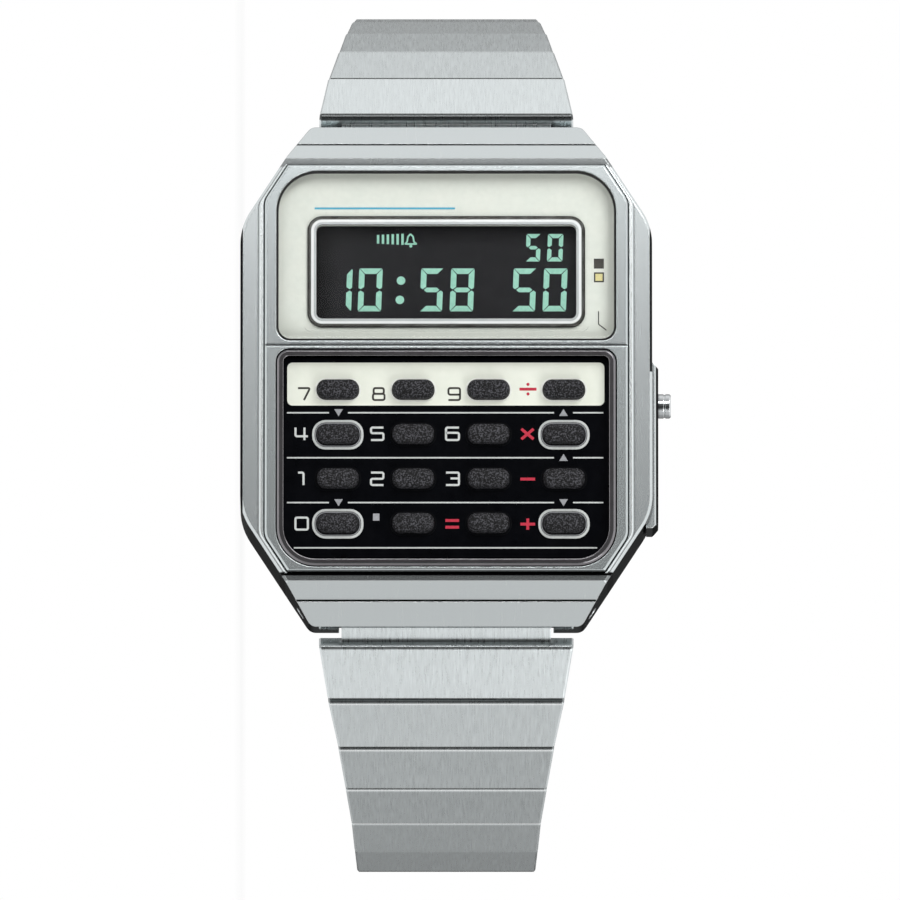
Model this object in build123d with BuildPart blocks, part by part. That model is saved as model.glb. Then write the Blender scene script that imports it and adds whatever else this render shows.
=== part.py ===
from build123d import *
import math
import os

os.makedirs("parts", exist_ok=True)

# The closed watch lies on its left flank. X runs from 12 o'clock to 6 o'clock, Y from the face into the wrist
# loop and Z from 9 o'clock to 3 o'clock. The origin is the middle of the case back's outer face.
# On the DIAL plane x points to 3 o'clock, y to 12 o'clock, and a height is counted from the case back.
DIAL = Plane(origin=(0, 0, 0), x_dir=(0, 0, 1), z_dir=(0, -1, 0))
FLANK = Plane.XY
SIX, TWELVE = 1, -1

overrun = 1.5
running_fit = 0.04
part_gap = 0.05

# Case body: the sides, ends and corner flats are cut back from the overall length and width
case_length = 42.6
case_width = 34.4
front_height = 7.8
floor_height = 0.7
corner_run = 5.9
corner_rise = 9.1
facet_run = 3.32
crease_run = 1.86
crease_drop = 1.99
lip_drop = 3.77
plate_stand = 0.6
ledge_width = 0.58
crease_width = 0.2
crease_depth = 0.18
side_corner_radius = 5.0
end_corner_radius = 0.8
foot_chamfer = 0.6
edge_bevel = 0.2
side_wall = 3.6
end_wall = 6.1
corner_wall = 3.169
roof = 2.6
cavity_radius = 1.0

end_corner_x = case_width / 2 - corner_run
side_corner_y = case_length / 2 - corner_rise
corner_length = math.hypot(corner_run, corner_rise)
corner_x, corner_y = corner_rise / corner_length, corner_run / corner_length
case_reach = corner_x * case_width / 2 + corner_y * side_corner_y
shoulder_y = case_length / 2 - facet_run
ledge_inner_y = shoulder_y - ledge_width
crease_y = case_length / 2 - crease_run
deck_height = front_height - plate_stand
crease_height = front_height - crease_drop
lip_height = front_height - lip_drop
cavity_half_x = case_width / 2 - side_wall
cavity_half_y = case_length / 2 - end_wall
cavity_reach = case_reach - corner_wall
cavity_top = front_height - roof

# Bezel plate and the polished bead round its recess
side_border = 2.05
corner_border = 0.569
plate_radius = 1.6
plate_thickness = 1.1
plate_gap = 0.1
plate_bevel = 0.15
bead_width = 0.4
bead_corner_width = 0.2
bead_rise = 0.25
divider_y = 1.93
divider_width = 0.24
divider_depth = 0.15

plate_half_x = case_width / 2 - side_border
plate_half_y = ledge_inner_y - plate_gap
plate_reach = case_reach - corner_border
recess_height = front_height - plate_thickness
recess_half_x, recess_half_y = plate_half_x + plate_gap, plate_half_y + plate_gap
recess_reach = plate_reach + plate_gap

# Upper window, crystal, face panel and liquid crystal cell
window_border = 0.95
window_end_border = 0.5
window_foot = 0.37
window_high_radius = 3.4
window_low_radius = 1.15
crystal_drop = 0.1
crystal_bevel = 0.35
crystal_pocket = 0.3
face_thickness = 0.38
face_gap = 0.02
screen_side_margin = 3.35
screen_head_margin = 4.45
screen_foot_margin = 2.04
screen_radius = 0.5
surround_width = 0.75
surround_rise = 0.25
surround_bevel = 0.1
cell_border = 0.85
cell_ledge = 0.6
cell_glass = 0.55
cell_opening_gap = 0.2

window_half_x = plate_half_x - window_border
window_high = plate_half_y - window_end_border
window_low = divider_y + window_foot
crystal_top = front_height - crystal_drop
crystal_pocket_height = recess_height + crystal_pocket
face_top = recess_height - face_gap
face_bottom = face_top - face_thickness
screen_half_x = window_half_x - screen_side_margin
screen_high = window_high - screen_head_margin
screen_low = window_low + screen_foot_margin
cell_half_x = screen_half_x + cell_border
cell_low, cell_high = screen_low - cell_border, screen_high + cell_border
cell_top = face_bottom - part_gap
display_half_x = cell_half_x + cell_opening_gap
display_low, display_high = cell_low - cell_opening_gap, cell_high + cell_opening_gap

# Keypad window with its polished rim and the plate that carries the legends
rim_border = 0.95
rim_end_border = 0.4
rim_head = 0.33
rim_high_radius = 1.1
rim_low_radius = 3.3
rim_side = 0.6
rim_stand = 0.15
rim_bevel = 0.22
legend_plate_thickness = 0.4
mat_border = 1.3

rim_half_x = plate_half_x - rim_border
rim_high = divider_y - rim_head
rim_low = rim_end_border - plate_half_y
rim_top = front_height + rim_stand
legend_plate_top = recess_height + legend_plate_thickness
pad_half_x = rim_half_x - rim_side
pad_high, pad_low = rim_high - rim_side, rim_low + rim_side
mat_half_x, mat_high, mat_low = pad_half_x - mat_border, pad_high - mat_border, pad_low + mat_border

# Keys, spread over the legend plate between its margins
key_columns = 4
key_rows = 4
key_left_margin = 2.785
key_right_margin = 2.015
key_head_margin = 1.89
key_foot_margin = 2.29
key_length = 3.53
key_width = 1.75
key_stand = 0.2
key_shoulder = 0.45
key_shoulder_drop = 0.22
key_gap = 0.12
key_travel = 0.45
flange_margin = 0.32
flange_thickness = 0.35
flange_gap = 0.1
mat_rise = 0.35
dome_radius = 0.9
dome_sides = 8

key_pitch_x = (2 * pad_half_x - key_left_margin - key_right_margin - key_length) / (key_columns - 1)
key_pitch_y = (pad_high - pad_low - key_head_margin - key_foot_margin - key_width) / (key_rows - 1)
key_middle_x = (key_left_margin - key_right_margin) / 2
key_middle_y = (pad_high + pad_low + key_foot_margin - key_head_margin) / 2
key_top = front_height + key_stand
flange_top = recess_height - flange_gap
flange_bottom = flange_top - flange_thickness
mat_height = cavity_top + mat_rise

# Module inside the case
board_thickness = 0.6
board_drop = 0.7
module_gap = 0.12
frame_stand = 0.45
battery_radius = 10.0
battery_thickness = 1.6
battery_end_wall = 1.7
battery_stand = 0.5
battery_gap = 0.1
buzzer_radius = 6.0
buzzer_thickness = 0.25
buzzer_end_wall = 1.2

frame_bottom = floor_height + frame_stand
frame_top = cavity_top - board_drop
board_top = frame_top + board_thickness
battery_y = battery_end_wall + battery_radius - cavity_half_y
battery_bottom = floor_height + battery_stand
buzzer_y = cavity_half_y - buzzer_radius - buzzer_end_wall

# Case back, gasket and screws
back_border = 1.6
back_bevel = 0.3
gasket_inset = 0.5
gasket_width = 0.65
gasket_depth = 0.6
screw_wall = 1.05
screw_border = 1.0
screw_corner_border = 1.385
screw_radius = 0.45
screw_head_radius = 0.75
screw_head_height = 0.35
screw_depth = 2.4
screw_slot_width = 0.22
screw_slot_depth = 0.15

groove_inner, groove_outer = gasket_inset, gasket_inset + gasket_width
gasket_inner, gasket_outer = groove_inner + part_gap, groove_outer - part_gap
screw_y = cavity_half_y + groove_outer + screw_wall
back_half_x = case_width / 2 - back_border
back_half_y = screw_y + screw_border
back_reach = case_reach - corner_border
screw_x = (back_reach - screw_corner_border - corner_y * screw_y) / corner_x

# Pushers and the guard boss on the right flank
boss_high = 0.3
boss_over = 0.6
boss_rise = 0.5
boss_half_height = 1.9
boss_round = 0.3
mode_inset = 2.85
adjust_inset = 3.85
mode_head_radius = 1.02
mode_head_reach = 1.55
adjust_head_radius = 0.6
adjust_head_reach = 0.3
head_gap = 0.1
head_bevel = 0.12
head_groove_depth = 0.06
head_groove_width = 0.16
stem_radius = 0.5
counterbore_depth = 1.0
clip_radius = 0.95
clip_thickness = 0.3
clip_inset = 0.7
clip_clearance = 0.15
pusher_travel = 0.6

boss_low = -side_corner_y - boss_over
mode_y, adjust_y = boss_high - mode_inset, boss_low + adjust_inset
pusher_height = cavity_top - clip_clearance - clip_radius
boss_bottom, boss_top = pusher_height - boss_half_height, pusher_height + boss_half_height
stem_end = cavity_half_x - clip_inset
counterbore_start = case_width / 2 - counterbore_depth

# Bracelet: it tapers from the width between the corner flats to the width of the clasp
lug_inset = 1.4
lug_drop = 1.23
lug_wall = 2.35
lug_radius = 1.3
lug_lip_wall = 0.53
tongue_gap = 0.2
lug_barrel_radius = 1.12
bar_radius = 0.65
bar_tip_radius = 0.4
bar_tip_length = 2.65
link_pitch = 5.2
plate_start = 2.4
link_gap = 0.25
link_top = 1.25
link_under = 0.75
link_round = 0.5
link_under_bevel = 0.6
link_end_round = 0.15
link_overhang = 1.7
barrel_radius = 0.7
barrel_gap = 0.12
tongue_top = 0.4
tongue_half_width = 4.0
pin_radius = 0.35
pin_inset = 0.35
link_width_shares = [1, 0.93, 0.85, 0.793, 0.746, 0.723, 0.704, 0.704, 0.704, 0.704, 0.704, 0.704]
link_slopes_deg = [38, 49.5, 58, 65, 72.5, 80, 95, 111, 127, 143, 159]

lug_y = case_length / 2 - lug_inset
lug_height = lip_height - lug_drop
lug_lip_height = lip_height - lug_lip_wall
lug_half_width = end_corner_x - lug_wall
bar_tip_reach = lug_half_width + bar_tip_length
link_widths = [2 * share * (lug_half_width + link_overhang) for share in link_width_shares]
link_count = len(link_slopes_deg)

# Folding clasp: heights are counted outwards from the arc through the last bracelet pivots
clasp_radius = 60.0
cover_inner = 0.8
cover_outer = 1.45
cover_drop = 1.35
cover_side = 0.3
cover_wall = 0.6
cover_end_wall = 0.8
cover_round = 0.3
blade_side = 2.2
middle_low = -0.25
middle_high = 0.35
end_low = -1.35
end_high = -0.75
end_blade_side = 0.4
knuckle_radius = 0.65
knuckle_half_width = 2.2
knuckle_side_gap = 0.12
knuckle_relief = 0.85
blade_pin_radius = 0.3
cover_pivot_inset = 3.3
cover_pivot_height = 0.05
fold_pivot_inset = 5.3
fold_pivot_height = -0.5
nose_radius = 0.5
nose_gap = 0.12
nose_dip_deg = 9

cover_half_width = link_widths[-1] / 2 + cover_side
blade_half_width = cover_half_width - blade_side
end_blade_half_width = tongue_half_width - end_blade_side


def octagon(height, half_x, half_y, reach, side_radius):
    """Case outline: a rectangle whose corners are cut by flats at a distance of reach from the middle."""
    side_y = (reach - corner_x * half_x) / corner_y
    end_x = (reach - corner_y * half_y) / corner_x
    with BuildSketch(DIAL.offset(height)) as outline:
        with BuildLine():
            Polyline(
                (half_x, -side_y), (half_x, side_y), (end_x, half_y), (-end_x, half_y),
                (-half_x, side_y), (-half_x, -side_y), (-end_x, -half_y), (end_x, -half_y), close=True,
            )
        make_face()
        sides = outline.vertices().group_by(Axis.X)
        fillet(sides[0] + sides[-1], side_radius)
    return outline.sketch


def window(height, half_x, low, high, low_radius, high_radius):
    """Window outline with its own corner radii at the 12 o'clock and the 6 o'clock end."""
    with BuildSketch(DIAL.offset(height)) as outline:
        with Locations((0, (low + high) / 2)):
            Rectangle(2 * half_x, high - low)
        fillet(outline.vertices().group_by(Axis.Y)[0], low_radius)
        fillet(outline.vertices().group_by(Axis.Y)[-1], high_radius)
    return outline.sketch


def discs(height, radius, places):
    """Circles on the dial plane at the given places."""
    with BuildSketch(DIAL.offset(height)) as spots:
        with Locations(*places):
            Circle(radius)
    return spots.sketch


def flank_disc(offset, radius, place):
    """Circle across the watch, at a place of (x, y) in the flank plane."""
    with BuildSketch(FLANK.offset(offset)) as spot:
        with Locations(place):
            Circle(radius)
    return spot.sketch


def gasket_ring(inner, outer):
    """Ring between two distances outside the cavity, on the floor of the case body."""
    outside, inside = [
        octagon(floor_height, cavity_half_x + distance, cavity_half_y + distance, cavity_reach + distance,
                cavity_radius + distance)
        for distance in (outer, inner)
    ]
    return outside - inside


def save(part, name):
    part.label = name
    export_step(part, f"parts/{name}.step")


screw_places = [(x, y) for x in (-screw_x, screw_x) for y in (-screw_y, screw_y)]
key_places = {
    f"key_{row + 1}_{column + 1}": (
        key_middle_x + (column - (key_columns - 1) / 2) * key_pitch_x,
        key_middle_y - (row - (key_rows - 1) / 2) * key_pitch_y,
    )
    for row in range(key_rows)
    for column in range(key_columns)
}

# Case body: the side view gives the end facets, the plan gives the corner flats
facet_angle = math.atan2(crease_height - lip_height, case_length / 2 - crease_y)
mode_place = (-mode_y, -pusher_height)
adjust_place = (-adjust_y, -pusher_height)
flank_reach = case_width / 2 + boss_rise

gasket_groove = gasket_ring(groove_inner, groove_outer)
with BuildPart() as case_body:
    with BuildSketch(FLANK):
        with BuildLine() as side_view:
            Polyline(
                (0, -floor_height), (case_length / 2 - foot_chamfer, -floor_height),
                (case_length / 2, -floor_height - foot_chamfer), (case_length / 2, -lip_height),
                (crease_y, -crease_height), (shoulder_y, -deck_height), (0, -deck_height),
            )
            mirror(about=Plane.YZ)
        make_face()
    extrude(amount=case_width / 2, both=True)
    extrude(
        octagon(0, case_width / 2, case_length / 2, case_reach, side_corner_radius),
        amount=front_height, mode=Mode.INTERSECT,
    )
    upright = case_body.edges().filter_by(Axis.Y).group_by(Axis.X)
    fillet(upright[0] + upright[-1], end_corner_radius)
    deck_edges = case_body.faces().filter_by(Axis.Y).sort_by(Axis.Y)[0].edges()
    chamfer(deck_edges.filter_by(lambda e: abs(e.center().X) < shoulder_y - edge_bevel), edge_bevel)
    extrude(
        octagon(deck_height, recess_half_x + bead_width, recess_half_y, recess_reach + bead_corner_width,
                plate_radius),
        amount=bead_rise,
    )
    bead_edges = case_body.faces().filter_by(Axis.Y).sort_by(Axis.Y)[0].edges()
    chamfer(bead_edges.filter_by(lambda e: abs(e.center().X) < recess_half_y - edge_bevel), bead_rise / 2)
    extrude(
        octagon(recess_height, recess_half_x, recess_half_y, recess_reach, plate_radius),
        amount=front_height, mode=Mode.SUBTRACT,
    )
    for side in (SIX, TWELVE):
        with BuildSketch(Plane(origin=(side * crease_y, -crease_height, 0), x_dir=(0, 0, side),
                               z_dir=(side * math.sin(facet_angle), -math.cos(facet_angle), 0))):
            Rectangle(case_width, crease_width)
        extrude(amount=-crease_depth, both=True, mode=Mode.SUBTRACT)
    with BuildSketch(DIAL.offset(boss_bottom)):
        with BuildLine():
            Polyline(
                (case_width / 2 - boss_rise, boss_high + boss_rise), (case_width / 2, boss_high + boss_rise),
                (flank_reach, boss_high), (flank_reach, boss_low), (case_width / 2, boss_low - boss_rise),
                (case_width / 2 - boss_rise, boss_low - boss_rise), close=True,
            )
        make_face()
    extrude(amount=boss_top - boss_bottom)
    boss_face = case_body.faces().filter_by(Axis.Z).sort_by(Axis.Z)[-1]
    chamfer(boss_face.edges().filter_by(Axis.X), boss_round)
    extrude(
        octagon(floor_height, cavity_half_x, cavity_half_y, cavity_reach, cavity_radius),
        amount=cavity_top - floor_height, mode=Mode.SUBTRACT,
    )
    extrude(
        window(face_bottom, window_half_x, window_low, window_high, window_low_radius, window_high_radius),
        amount=front_height, mode=Mode.SUBTRACT,
    )
    extrude(
        window(cavity_top, display_half_x, display_low, display_high, screen_radius, screen_radius),
        amount=front_height, mode=Mode.SUBTRACT,
    )
    extrude(
        window(cavity_top, mat_half_x, mat_low, mat_high, screen_radius, screen_radius),
        amount=front_height, mode=Mode.SUBTRACT,
    )
    extrude(gasket_groove, amount=gasket_depth, mode=Mode.SUBTRACT)
    for side in (SIX, TWELVE):
        with BuildSketch(FLANK):
            with BuildLine():
                Polyline(
                    (side * (lug_y - lug_radius), -lug_height), (side * (lug_y - lug_radius), overrun),
                    (side * (case_length / 2 + overrun), overrun),
                    (side * (case_length / 2 + overrun), -lug_lip_height), (side * lug_y, -lug_lip_height),
                    close=True,
                )
            make_face()
            with Locations((side * lug_y, -lug_height)):
                Circle(lug_radius)
        extrude(amount=lug_half_width, both=True, mode=Mode.SUBTRACT)
        extrude(
            flank_disc(0, bar_tip_radius + part_gap, (side * lug_y, -lug_height)),
            amount=case_width / 2, both=True, mode=Mode.SUBTRACT,
        )
    for place, head_radius in ((mode_place, mode_head_radius), (adjust_place, adjust_head_radius)):
        extrude(
            flank_disc(0, stem_radius + part_gap, place),
            amount=flank_reach + overrun, mode=Mode.SUBTRACT,
        )
        extrude(
            flank_disc(counterbore_start, head_radius + head_gap, place),
            amount=overrun + flank_reach - counterbore_start, mode=Mode.SUBTRACT,
        )
    extrude(
        discs(floor_height, screw_radius + part_gap, screw_places),
        amount=screw_depth, mode=Mode.SUBTRACT,
    )
save(case_body.part, "case_body")

# Bezel plate with both windows and the fine groove on the bar between them
with BuildPart() as bezel_plate:
    extrude(
        octagon(recess_height, plate_half_x, plate_half_y, plate_reach, plate_radius),
        amount=plate_thickness,
    )
    chamfer(bezel_plate.faces().sort_by(Axis.Y)[0].edges(), plate_bevel)
    with BuildSketch(DIAL.offset(front_height)):
        with Locations((0, divider_y)):
            Rectangle(2 * plate_half_x, divider_width)
    extrude(amount=-divider_depth, mode=Mode.SUBTRACT)
    extrude(
        window(recess_height, window_half_x, window_low, window_high, window_low_radius,
               window_high_radius),
        amount=plate_thickness, mode=Mode.SUBTRACT,
    )
    extrude(
        window(recess_height, rim_half_x + part_gap, rim_low - part_gap, rim_high + part_gap,
               rim_low_radius + part_gap, rim_high_radius + part_gap),
        amount=plate_thickness, mode=Mode.SUBTRACT,
    )
save(bezel_plate.part, "bezel_plate")

# Crystal: bevelled lens, hollowed underneath over the display
with BuildPart() as display_crystal:
    extrude(
        window(recess_height, window_half_x - part_gap, window_low + part_gap, window_high - part_gap,
               window_low_radius - part_gap, window_high_radius - part_gap),
        amount=crystal_top - recess_height,
    )
    chamfer(display_crystal.faces().sort_by(Axis.Y)[0].edges(), crystal_bevel)
    extrude(
        window(recess_height, display_half_x, display_low, display_high, screen_radius, screen_radius),
        amount=crystal_pocket_height - recess_height, mode=Mode.SUBTRACT,
    )
save(display_crystal.part, "display_crystal")

# Face panel under the crystal, with the opening for the screen
with BuildPart() as face_panel:
    extrude(
        window(face_bottom, window_half_x - part_gap, window_low + part_gap, window_high - part_gap,
               window_low_radius - part_gap, window_high_radius - part_gap),
        amount=face_thickness,
    )
    extrude(
        window(face_bottom, screen_half_x, screen_low, screen_high, screen_radius, screen_radius),
        amount=face_thickness, mode=Mode.SUBTRACT,
    )
save(face_panel.part, "face_panel")

# Bright surround on the face panel, round the screen
with BuildPart() as screen_surround:
    extrude(
        window(face_top, screen_half_x + surround_width, screen_low - surround_width,
               screen_high + surround_width, screen_radius + surround_width,
               screen_radius + surround_width),
        amount=surround_rise,
    )
    chamfer(screen_surround.faces().sort_by(Axis.Y)[0].edges(), surround_bevel)
    extrude(
        window(face_top, screen_half_x, screen_low, screen_high, screen_radius, screen_radius),
        amount=surround_rise, mode=Mode.SUBTRACT,
    )
save(screen_surround.part, "screen_surround")

# Liquid crystal cell: two glasses, the rear one longer for its contacts
with BuildPart() as lcd_cell:
    with BuildSketch(DIAL.offset(frame_top)):
        with Locations((0, (cell_low + cell_high) / 2)):
            Rectangle(2 * cell_half_x, cell_high - cell_low)
    extrude(amount=cell_top - frame_top)
    with BuildSketch(DIAL.offset(cell_top)):
        with Locations((0, cell_low + cell_ledge / 2)):
            Rectangle(2 * cell_half_x, cell_ledge)
    extrude(amount=-cell_glass, mode=Mode.SUBTRACT)
save(lcd_cell.part, "lcd_cell")

# Polished rim round the keypad
with BuildPart() as keypad_rim:
    extrude(
        window(recess_height, rim_half_x, rim_low, rim_high, rim_low_radius, rim_high_radius),
        amount=rim_top - recess_height,
    )
    chamfer(keypad_rim.faces().sort_by(Axis.Y)[0].edges(), rim_bevel)
    extrude(
        window(recess_height, pad_half_x, pad_low, pad_high, rim_low_radius - rim_side,
               rim_high_radius - rim_side),
        amount=rim_top - recess_height, mode=Mode.SUBTRACT,
    )
save(keypad_rim.part, "keypad_rim")

# Legend plate with its key holes
with BuildPart() as keypad_plate:
    extrude(
        window(recess_height, pad_half_x - part_gap, pad_low + part_gap, pad_high - part_gap,
               rim_low_radius - rim_side - part_gap, rim_high_radius - rim_side - part_gap),
        amount=legend_plate_top - recess_height,
    )
    with BuildSketch(DIAL.offset(recess_height)):
        with Locations(*key_places.values()):
            SlotOverall(key_length + 2 * key_gap, key_width + 2 * key_gap)
    extrude(amount=legend_plate_top - recess_height, mode=Mode.SUBTRACT)
save(keypad_plate.part, "keypad_plate")

# Keys: a rubber top with a sloping shoulder, on a flange that the legend plate holds in
for name, place in key_places.items():
    with BuildPart() as key:
        with BuildSketch(DIAL.offset(flange_bottom)):
            with Locations(place):
                Rectangle(key_length + 2 * flange_margin, key_width + 2 * flange_margin)
        extrude(amount=flange_thickness)
        with BuildSketch(DIAL.offset(flange_top)):
            with Locations(place):
                SlotOverall(key_length, key_width)
        extrude(amount=key_top - flange_top)
        top = key.faces().sort_by(Axis.Y)[0]
        chamfer(top.edges(), key_shoulder, key_shoulder_drop, reference=top)
    save(key.part, name)


def module_outline():
    """Outline of what fills the case's cavity, from the back."""
    return octagon(floor_height, cavity_half_x - module_gap, cavity_half_y - module_gap,
                   cavity_reach - module_gap, cavity_radius)


# Rubber mat with a small dome under each key
with BuildPart() as key_mat:
    extrude(
        window(board_top, mat_half_x - module_gap, mat_low + module_gap, mat_high - module_gap,
               screen_radius, screen_radius),
        amount=mat_height - board_top,
    )
    with BuildSketch(DIAL.offset(mat_height)):
        with Locations(*key_places.values()):
            RegularPolygon(dome_radius, dome_sides)
    extrude(amount=flange_bottom - key_travel - part_gap - mat_height)
    extrude(module_outline(), amount=front_height, mode=Mode.INTERSECT)
save(key_mat.part, "key_mat")

# Circuit board under the mat
with BuildPart() as circuit_board:
    extrude(
        window(frame_top, mat_half_x, mat_low, cell_low - module_gap, screen_radius, screen_radius),
        amount=board_thickness,
    )
    extrude(module_outline(), amount=front_height, mode=Mode.INTERSECT)
save(circuit_board.part, "circuit_board")

# Module frame: fills the cavity, holds the coin cell and leaves room for the pusher clips
with BuildPart() as module_frame:
    extrude(
        octagon(frame_bottom, cavity_half_x - module_gap, cavity_half_y - module_gap,
                cavity_reach - module_gap, cavity_radius),
        amount=frame_top - frame_bottom,
    )
    extrude(
        discs(frame_bottom, battery_radius + battery_gap, [(0, battery_y)]),
        amount=battery_bottom + battery_thickness + battery_gap - frame_bottom, mode=Mode.SUBTRACT,
    )
    for place in (mode_place, adjust_place):
        extrude(
            flank_disc(stem_end - pusher_travel - part_gap, clip_radius + head_gap, place),
            amount=overrun, mode=Mode.SUBTRACT,
        )
save(module_frame.part, "module_frame")

with BuildPart() as battery:
    extrude(discs(battery_bottom, battery_radius, [(0, battery_y)]), amount=battery_thickness)
save(battery.part, "battery")

with BuildPart() as buzzer:
    extrude(discs(floor_height, buzzer_radius, [(0, buzzer_y)]), amount=buzzer_thickness)
save(buzzer.part, "buzzer")

# Case back, with countersunk places for its four screws
with BuildPart() as case_back:
    extrude(octagon(0, back_half_x, back_half_y, back_reach, side_corner_radius), amount=floor_height)
    chamfer(case_back.faces().filter_by(Axis.Y).sort_by(Axis.Y)[-1].edges(), back_bevel)
    extrude(
        discs(0, screw_head_radius + part_gap, screw_places),
        amount=screw_head_height, mode=Mode.SUBTRACT,
    )
    extrude(
        discs(0, screw_radius + part_gap, screw_places),
        amount=floor_height, mode=Mode.SUBTRACT,
    )
save(case_back.part, "case_back")

with BuildPart() as back_screws:
    extrude(discs(0, screw_head_radius, screw_places), amount=screw_head_height)
    extrude(discs(0, screw_radius, screw_places), amount=screw_depth)
    with BuildSketch(DIAL):
        with Locations(*screw_places):
            Rectangle(2 * screw_head_radius, screw_slot_width)
    extrude(amount=screw_slot_depth, mode=Mode.SUBTRACT)
save(back_screws.part, "back_screws")

gasket_outline = gasket_ring(gasket_inner, gasket_outer)
with BuildPart() as back_gasket:
    extrude(gasket_outline, amount=gasket_depth - part_gap)
save(back_gasket.part, "back_gasket")


def make_pusher(name, place, head_radius, head_reach, grooved):
    """Pusher: head in its counterbore, stem through the case wall and clip inside the case."""
    head_end = case_width / 2 + head_reach
    head_start = counterbore_start + pusher_travel + part_gap
    with BuildPart() as pusher:
        extrude(flank_disc(head_start, head_radius, place), amount=head_end - head_start)
        rim_edges = pusher.edges().filter_by(GeomType.CIRCLE).sort_by(Axis.Z)
        chamfer(rim_edges[-1], head_bevel)
        extrude(flank_disc(stem_end, stem_radius, place), amount=head_start - stem_end)
        extrude(flank_disc(stem_end, clip_radius, place), amount=clip_thickness)
        if grooved:
            groove_middle = (head_end + case_width / 2 + boss_rise) / 2
            with BuildSketch(FLANK.offset(groove_middle - head_groove_width / 2)):
                with Locations(place):
                    Circle(head_radius)
                    Circle(head_radius - head_groove_depth, mode=Mode.SUBTRACT)
            extrude(amount=head_groove_width, mode=Mode.SUBTRACT)
    save(pusher.part, name)


make_pusher("mode_pusher", mode_place, mode_head_radius, mode_head_reach, True)
make_pusher("adjust_pusher", adjust_place, adjust_head_radius, adjust_head_reach, False)

# Spring bars that hold the bracelet in the lugs
with BuildPart() as spring_bars:
    for side in (SIX, TWELVE):
        extrude(
            flank_disc(0, bar_radius, (side * lug_y, -lug_height)),
            amount=lug_half_width - part_gap, both=True,
        )
        extrude(
            flank_disc(0, bar_tip_radius, (side * lug_y, -lug_height)),
            amount=bar_tip_reach, both=True,
        )
save(spring_bars.part, "spring_bars")

# Pivots of the bracelet, from the lug outwards, on the 6 o'clock side. The 12 o'clock side mirrors them.
pivots = [(lug_y, -lug_height)]
for slope in link_slopes_deg:
    turn = math.radians(slope)
    pivots.append((pivots[-1][0] + link_pitch * math.cos(turn), pivots[-1][1] + link_pitch * math.sin(turn)))
print("last pivot", pivots[-1])
plate_end = link_pitch + plate_start - link_gap


def link_section(side, pivot, slope):
    """Plane across a link: x runs along the bracelet, y points away from the wrist."""
    turn = math.radians(slope)
    return Plane(
        origin=(side * pivot[0], pivot[1], 0), x_dir=(side * math.cos(turn), math.sin(turn), 0),
        z_dir=(0, 0, -side),
    )


def section_disc(section, radius, along):
    with BuildSketch(section) as spot:
        with Locations((along, 0)):
            Circle(radius)
    return spot.sketch


def tongue(section, radius, reach):
    """Side view of a tongue: barrel round the pin and the strap that carries it."""
    with BuildSketch(section) as outline:
        Circle(radius)
        with BuildLine():
            Polyline((0, -radius), (reach, -link_under), (reach, tongue_top), (0, tongue_top), close=True)
        make_face()
    return outline.sketch


def box_section(section, from_along, to_along, low, high):
    with BuildSketch(section) as outline:
        with Locations(((from_along + to_along) / 2, (low + high) / 2)):
            Rectangle(to_along - from_along, high - low)
    return outline.sketch


def make_link(side, index):
    """One link: tapered plate, tongue under the link before it and pocket for the tongue after it."""
    section = link_section(side, pivots[index], link_slopes_deg[index])
    plan = Plane(origin=section.origin, x_dir=section.x_dir, z_dir=section.y_dir)
    start_half, end_half = link_widths[index] / 2, link_widths[index + 1] / 2
    first, last = index == 0, index == link_count - 1
    reach = plate_start + link_round
    own_half = lug_half_width - tongue_gap if first else tongue_half_width
    own_barrel = lug_barrel_radius if first else barrel_radius
    own_bore = (bar_radius if first else pin_radius) + running_fit
    with BuildPart() as link:
        with BuildSketch(plan.offset(-link_under)):
            with BuildLine():
                Polyline(
                    (plate_start, -start_half), (plate_end, -end_half), (plate_end, end_half),
                    (plate_start, start_half), close=True,
                )
            make_face()
        extrude(amount=link_under + link_top)
        front_edge = section.from_local_coords(Vector(plate_start, link_top, 0))
        fillet(link.edges().sort_by_distance(front_edge)[0], link_round)
        under_edge = section.from_local_coords(Vector(plate_start, -link_under, 0))
        chamfer(link.edges().sort_by_distance(under_edge)[0], link_under_bevel)
        top_face = link.faces().sort_by_distance(
            section.from_local_coords(Vector((plate_start + plate_end) / 2, link_top, 0)))[0]
        ends = top_face.edges().filter_by(lambda e: abs(e.center().Z) > own_half)
        chamfer(ends, link_end_round)
        extrude(tongue(section, own_barrel, reach), amount=own_half, both=True)
        pocket_start = link_pitch - barrel_radius - barrel_gap
        pocket_top = link_top + overrun if last and side == SIX else barrel_radius + barrel_gap
        extrude(
            box_section(section, pocket_start, plate_end + overrun, -link_under - overrun, pocket_top),
            amount=tongue_half_width + tongue_gap, both=True, mode=Mode.SUBTRACT,
        )
        extrude(section_disc(section, own_bore, 0), amount=case_width, both=True, mode=Mode.SUBTRACT)
        extrude(
            section_disc(section, pin_radius + running_fit, link_pitch),
            amount=case_width, both=True, mode=Mode.SUBTRACT,
        )
        if not first:
            extrude(section_disc(section, pin_radius, 0), amount=start_half - pin_inset, both=True)
        if last and side == SIX:
            extrude(section_disc(section, pin_radius, link_pitch), amount=end_half - pin_inset, both=True)
    return link.part


for side, end_name in ((SIX, "lower"), (TWELVE, "upper")):
    for index in range(link_count):
        save(make_link(side, index), f"{end_name}_link_{index + 1:02d}")

# Folding clasp, on arcs about one centre
last_x, last_y = pivots[-1]
clasp_centre_y = last_y - math.sqrt(clasp_radius ** 2 - last_x ** 2)
pivot_angle = math.asin(last_x / clasp_radius)


def clasp_point(height, angle):
    """Place on an arc of the clasp. The angle is counted from the middle, positive to 6 o'clock."""
    radius = clasp_radius + height
    return (radius * math.sin(angle), clasp_centre_y + radius * math.cos(angle))


def inset_angle(inset):
    """Angle of a place that lies inset millimetres inside the last pivot, along the clasp."""
    return pivot_angle - inset / clasp_radius


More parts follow.
